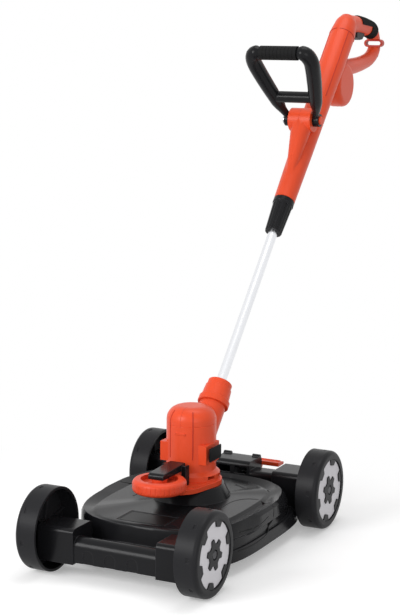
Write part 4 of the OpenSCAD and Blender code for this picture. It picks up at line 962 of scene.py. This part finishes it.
class TRIMMER_OT_screw_drives(Operator):
    """Mark the cross slots of the housing screws with thin dark crosses: painted shade where each slot's
    recess lies.
    """
    bl_idname = "trimmer.screw_drives"
    bl_label = "Screw drives"

    def execute(self, context):
        sizes = context.scene.trimmer_sizes
        slot = cross_slot(sizes.drive_l, sizes.drive_w, depth=0.08 * MM)
        for node, body in (("handle_screws", "handle"), ("motor_screws", "deck")):
            slots = []
            for screw in islands(node):
                outer = max(screw, key=lambda p: abs(p.x)).x
                rim = [p for p in screw if abs(p.x - outer) < 0.05 * MM]
                centre = sum(rim, Vector()) / len(rim)
                side = 1 if outer > 0 else -1
                slots.append(placed(slot, axes_at(centre, (0, side, 0), (0, 0, 1))))
            # The carbon finish paints the shade of the slots' recesses on the screw heads.
            make_piece(f"{node}_slots", together(slots), "carbon", body)
        return {"FINISHED"}


# Stage

class TRIMMER_OT_stage(Operator):
    """Put the trimmer on a pale floor under soft light, seen as a catalogue shows it."""
    bl_idname = "trimmer.stage"
    bl_label = "Stage"

    def execute(self, context):
        make_floor(context.scene.trimmer_colours.floor)
        make_lights()
        make_world()
        make_camera()
        context.scene.view_settings.view_transform = "Standard"
        return {"FINISHED"}


def make_floor(colour):
    """A wide floor that keeps the trimmer's shadow and turns white further off."""
    corners = [(x * FLOOR_HALF, y * FLOOR_HALF, 0) for x, y in ((-1, -1), (1, -1), (1, 1), (-1, 1))]
    mesh = bpy.data.meshes.new("floor")
    mesh.from_pydata(corners, [], [(0, 1, 2, 3)])
    floor = add_object("floor", mesh)
    paint = Paint("floor", {"Specular IOR Level": 0.0, "Roughness": 0.9, "Base Color": tuple(colour)})
    seen = paint.seen()
    glow = paint.node("ShaderNodeEmission", {}, {"Color": (1, 1, 1), "Strength": seen * FLOOR_GLOW})
    lit = paint.node("ShaderNodeAddShader", {}, {0: paint.surface, 1: glow})
    white = paint.node("ShaderNodeEmission", {}, {"Color": (1, 1, 1), "Strength": 1.0})
    away = paint.node("ShaderNodeVectorMath", {"operation": "LENGTH"}, {0: paint.place()}, "Value")
    far = paint.node("ShaderNodeMapRange", {"interpolation_type": "SMOOTHSTEP"},
                     {"Value": away, "From Min": WHITE_FROM, "From Max": WHITE_TO})
    both = paint.node("ShaderNodeMixShader", {}, {0: seen * far, 1: lit, 2: white})
    mesh.materials.append(paint.done(both))


def make_lights():
    """A broad key light, a fill from the other side and a top light."""
    middle = Vector([(a + b) / 2 for a, b in zip(*CAD_BOX)])
    for name, (place, size, power) in LIGHTS.items():
        lamp = bpy.data.lights.new(name, "AREA")
        lamp.shape = "DISK"
        lamp.size = size
        lamp.energy = power
        light = add_object(name, lamp)
        light.location = place
        light.rotation_euler = (middle - Vector(place)).to_track_quat("-Z", "Y").to_euler()


def make_world():
    """A white surround, softer as light than as it is seen."""
    world = bpy.data.worlds.new("studio")
    bpy.context.scene.world = world
    world.use_nodes = True
    nodes = Nodes(world.node_tree)
    strength = SURROUND + nodes.seen() * (1 - SURROUND)
    back = nodes.node("ShaderNodeBackground", {}, {"Color": (1, 1, 1), "Strength": strength})
    nodes.node("ShaderNodeOutputWorld", {}, {"Surface": back})


def make_camera():
    """The photograph's viewpoint."""
    yaw, pitch, roll = (math.radians(a) for a in CAMERA_TURNS)
    level_back = Vector((math.sin(yaw), -math.cos(yaw), 0))
    back = between(level_back, Vector((0, 0, 1)), pitch)
    level = Vector((math.cos(yaw), math.sin(yaw), 0))
    upright = back.cross(level)
    right = between(level, upright, roll)
    up = between(upright, -level, roll)
    lens = bpy.data.cameras.new("camera")
    lens.sensor_fit = "AUTO"
    lens.sensor_width = CAMERA_SENSOR
    lens.lens = CAMERA_LENS
    camera = add_object("camera", lens)
    turned = Matrix((right, up, back)).transposed().to_4x4()
    camera.matrix_world = Matrix.Translation(CAMERA_PLACE) @ turned
    bpy.context.scene.camera = camera


# Add-on

class TRIMMER_PT_sidebar(Panel):
    """Lists the trimmer's operators, sizes and colours."""
    bl_label = "Wheeled string trimmer"
    bl_idname = "TRIMMER_PT_sidebar"
    bl_space_type = "VIEW_3D"
    bl_region_type = "UI"
    bl_category = "Trimmer"

    def draw(self, context):
        for step in STEPS:
            self.layout.operator(step.bl_idname)
        for group in (context.scene.trimmer_sizes, context.scene.trimmer_colours):
            for name in group.__annotations__:
                self.layout.prop(group, name)


STEPS = (
    TRIMMER_OT_finishes,
    TRIMMER_OT_springs,
    TRIMMER_OT_deck_plate,
    TRIMMER_OT_motor_plate,
    TRIMMER_OT_seams,
    TRIMMER_OT_deck_folds,
    TRIMMER_OT_barrel_lines,
    TRIMMER_OT_motor_lines,
    TRIMMER_OT_grip_ribs,
    TRIMMER_OT_loop,
    TRIMMER_OT_screw_drives,
    TRIMMER_OT_stage,
)
CLASSES = (TrimmerColours, TrimmerSizes, *STEPS, TRIMMER_PT_sidebar)


def register():
    for item in CLASSES:
        bpy.utils.register_class(item)
    bpy.types.Scene.trimmer_colours = PointerProperty(type=TrimmerColours)
    bpy.types.Scene.trimmer_sizes = PointerProperty(type=TrimmerSizes)


def unregister():
    del bpy.types.Scene.trimmer_sizes
    del bpy.types.Scene.trimmer_colours
    for item in reversed(CLASSES):
        bpy.utils.unregister_class(item)


def main():
    register()
    bpy.ops.trimmer.finishes()
    bpy.ops.trimmer.springs()
    bpy.ops.trimmer.deck_plate()
    bpy.ops.trimmer.motor_plate()
    bpy.ops.trimmer.seams()
    bpy.ops.trimmer.deck_folds()
    bpy.ops.trimmer.barrel_lines()
    bpy.ops.trimmer.motor_lines()
    bpy.ops.trimmer.grip_ribs()
    bpy.ops.trimmer.loop()
    bpy.ops.trimmer.screw_drives()
    bpy.ops.trimmer.stage()


if __name__ == "__main__":
    main()
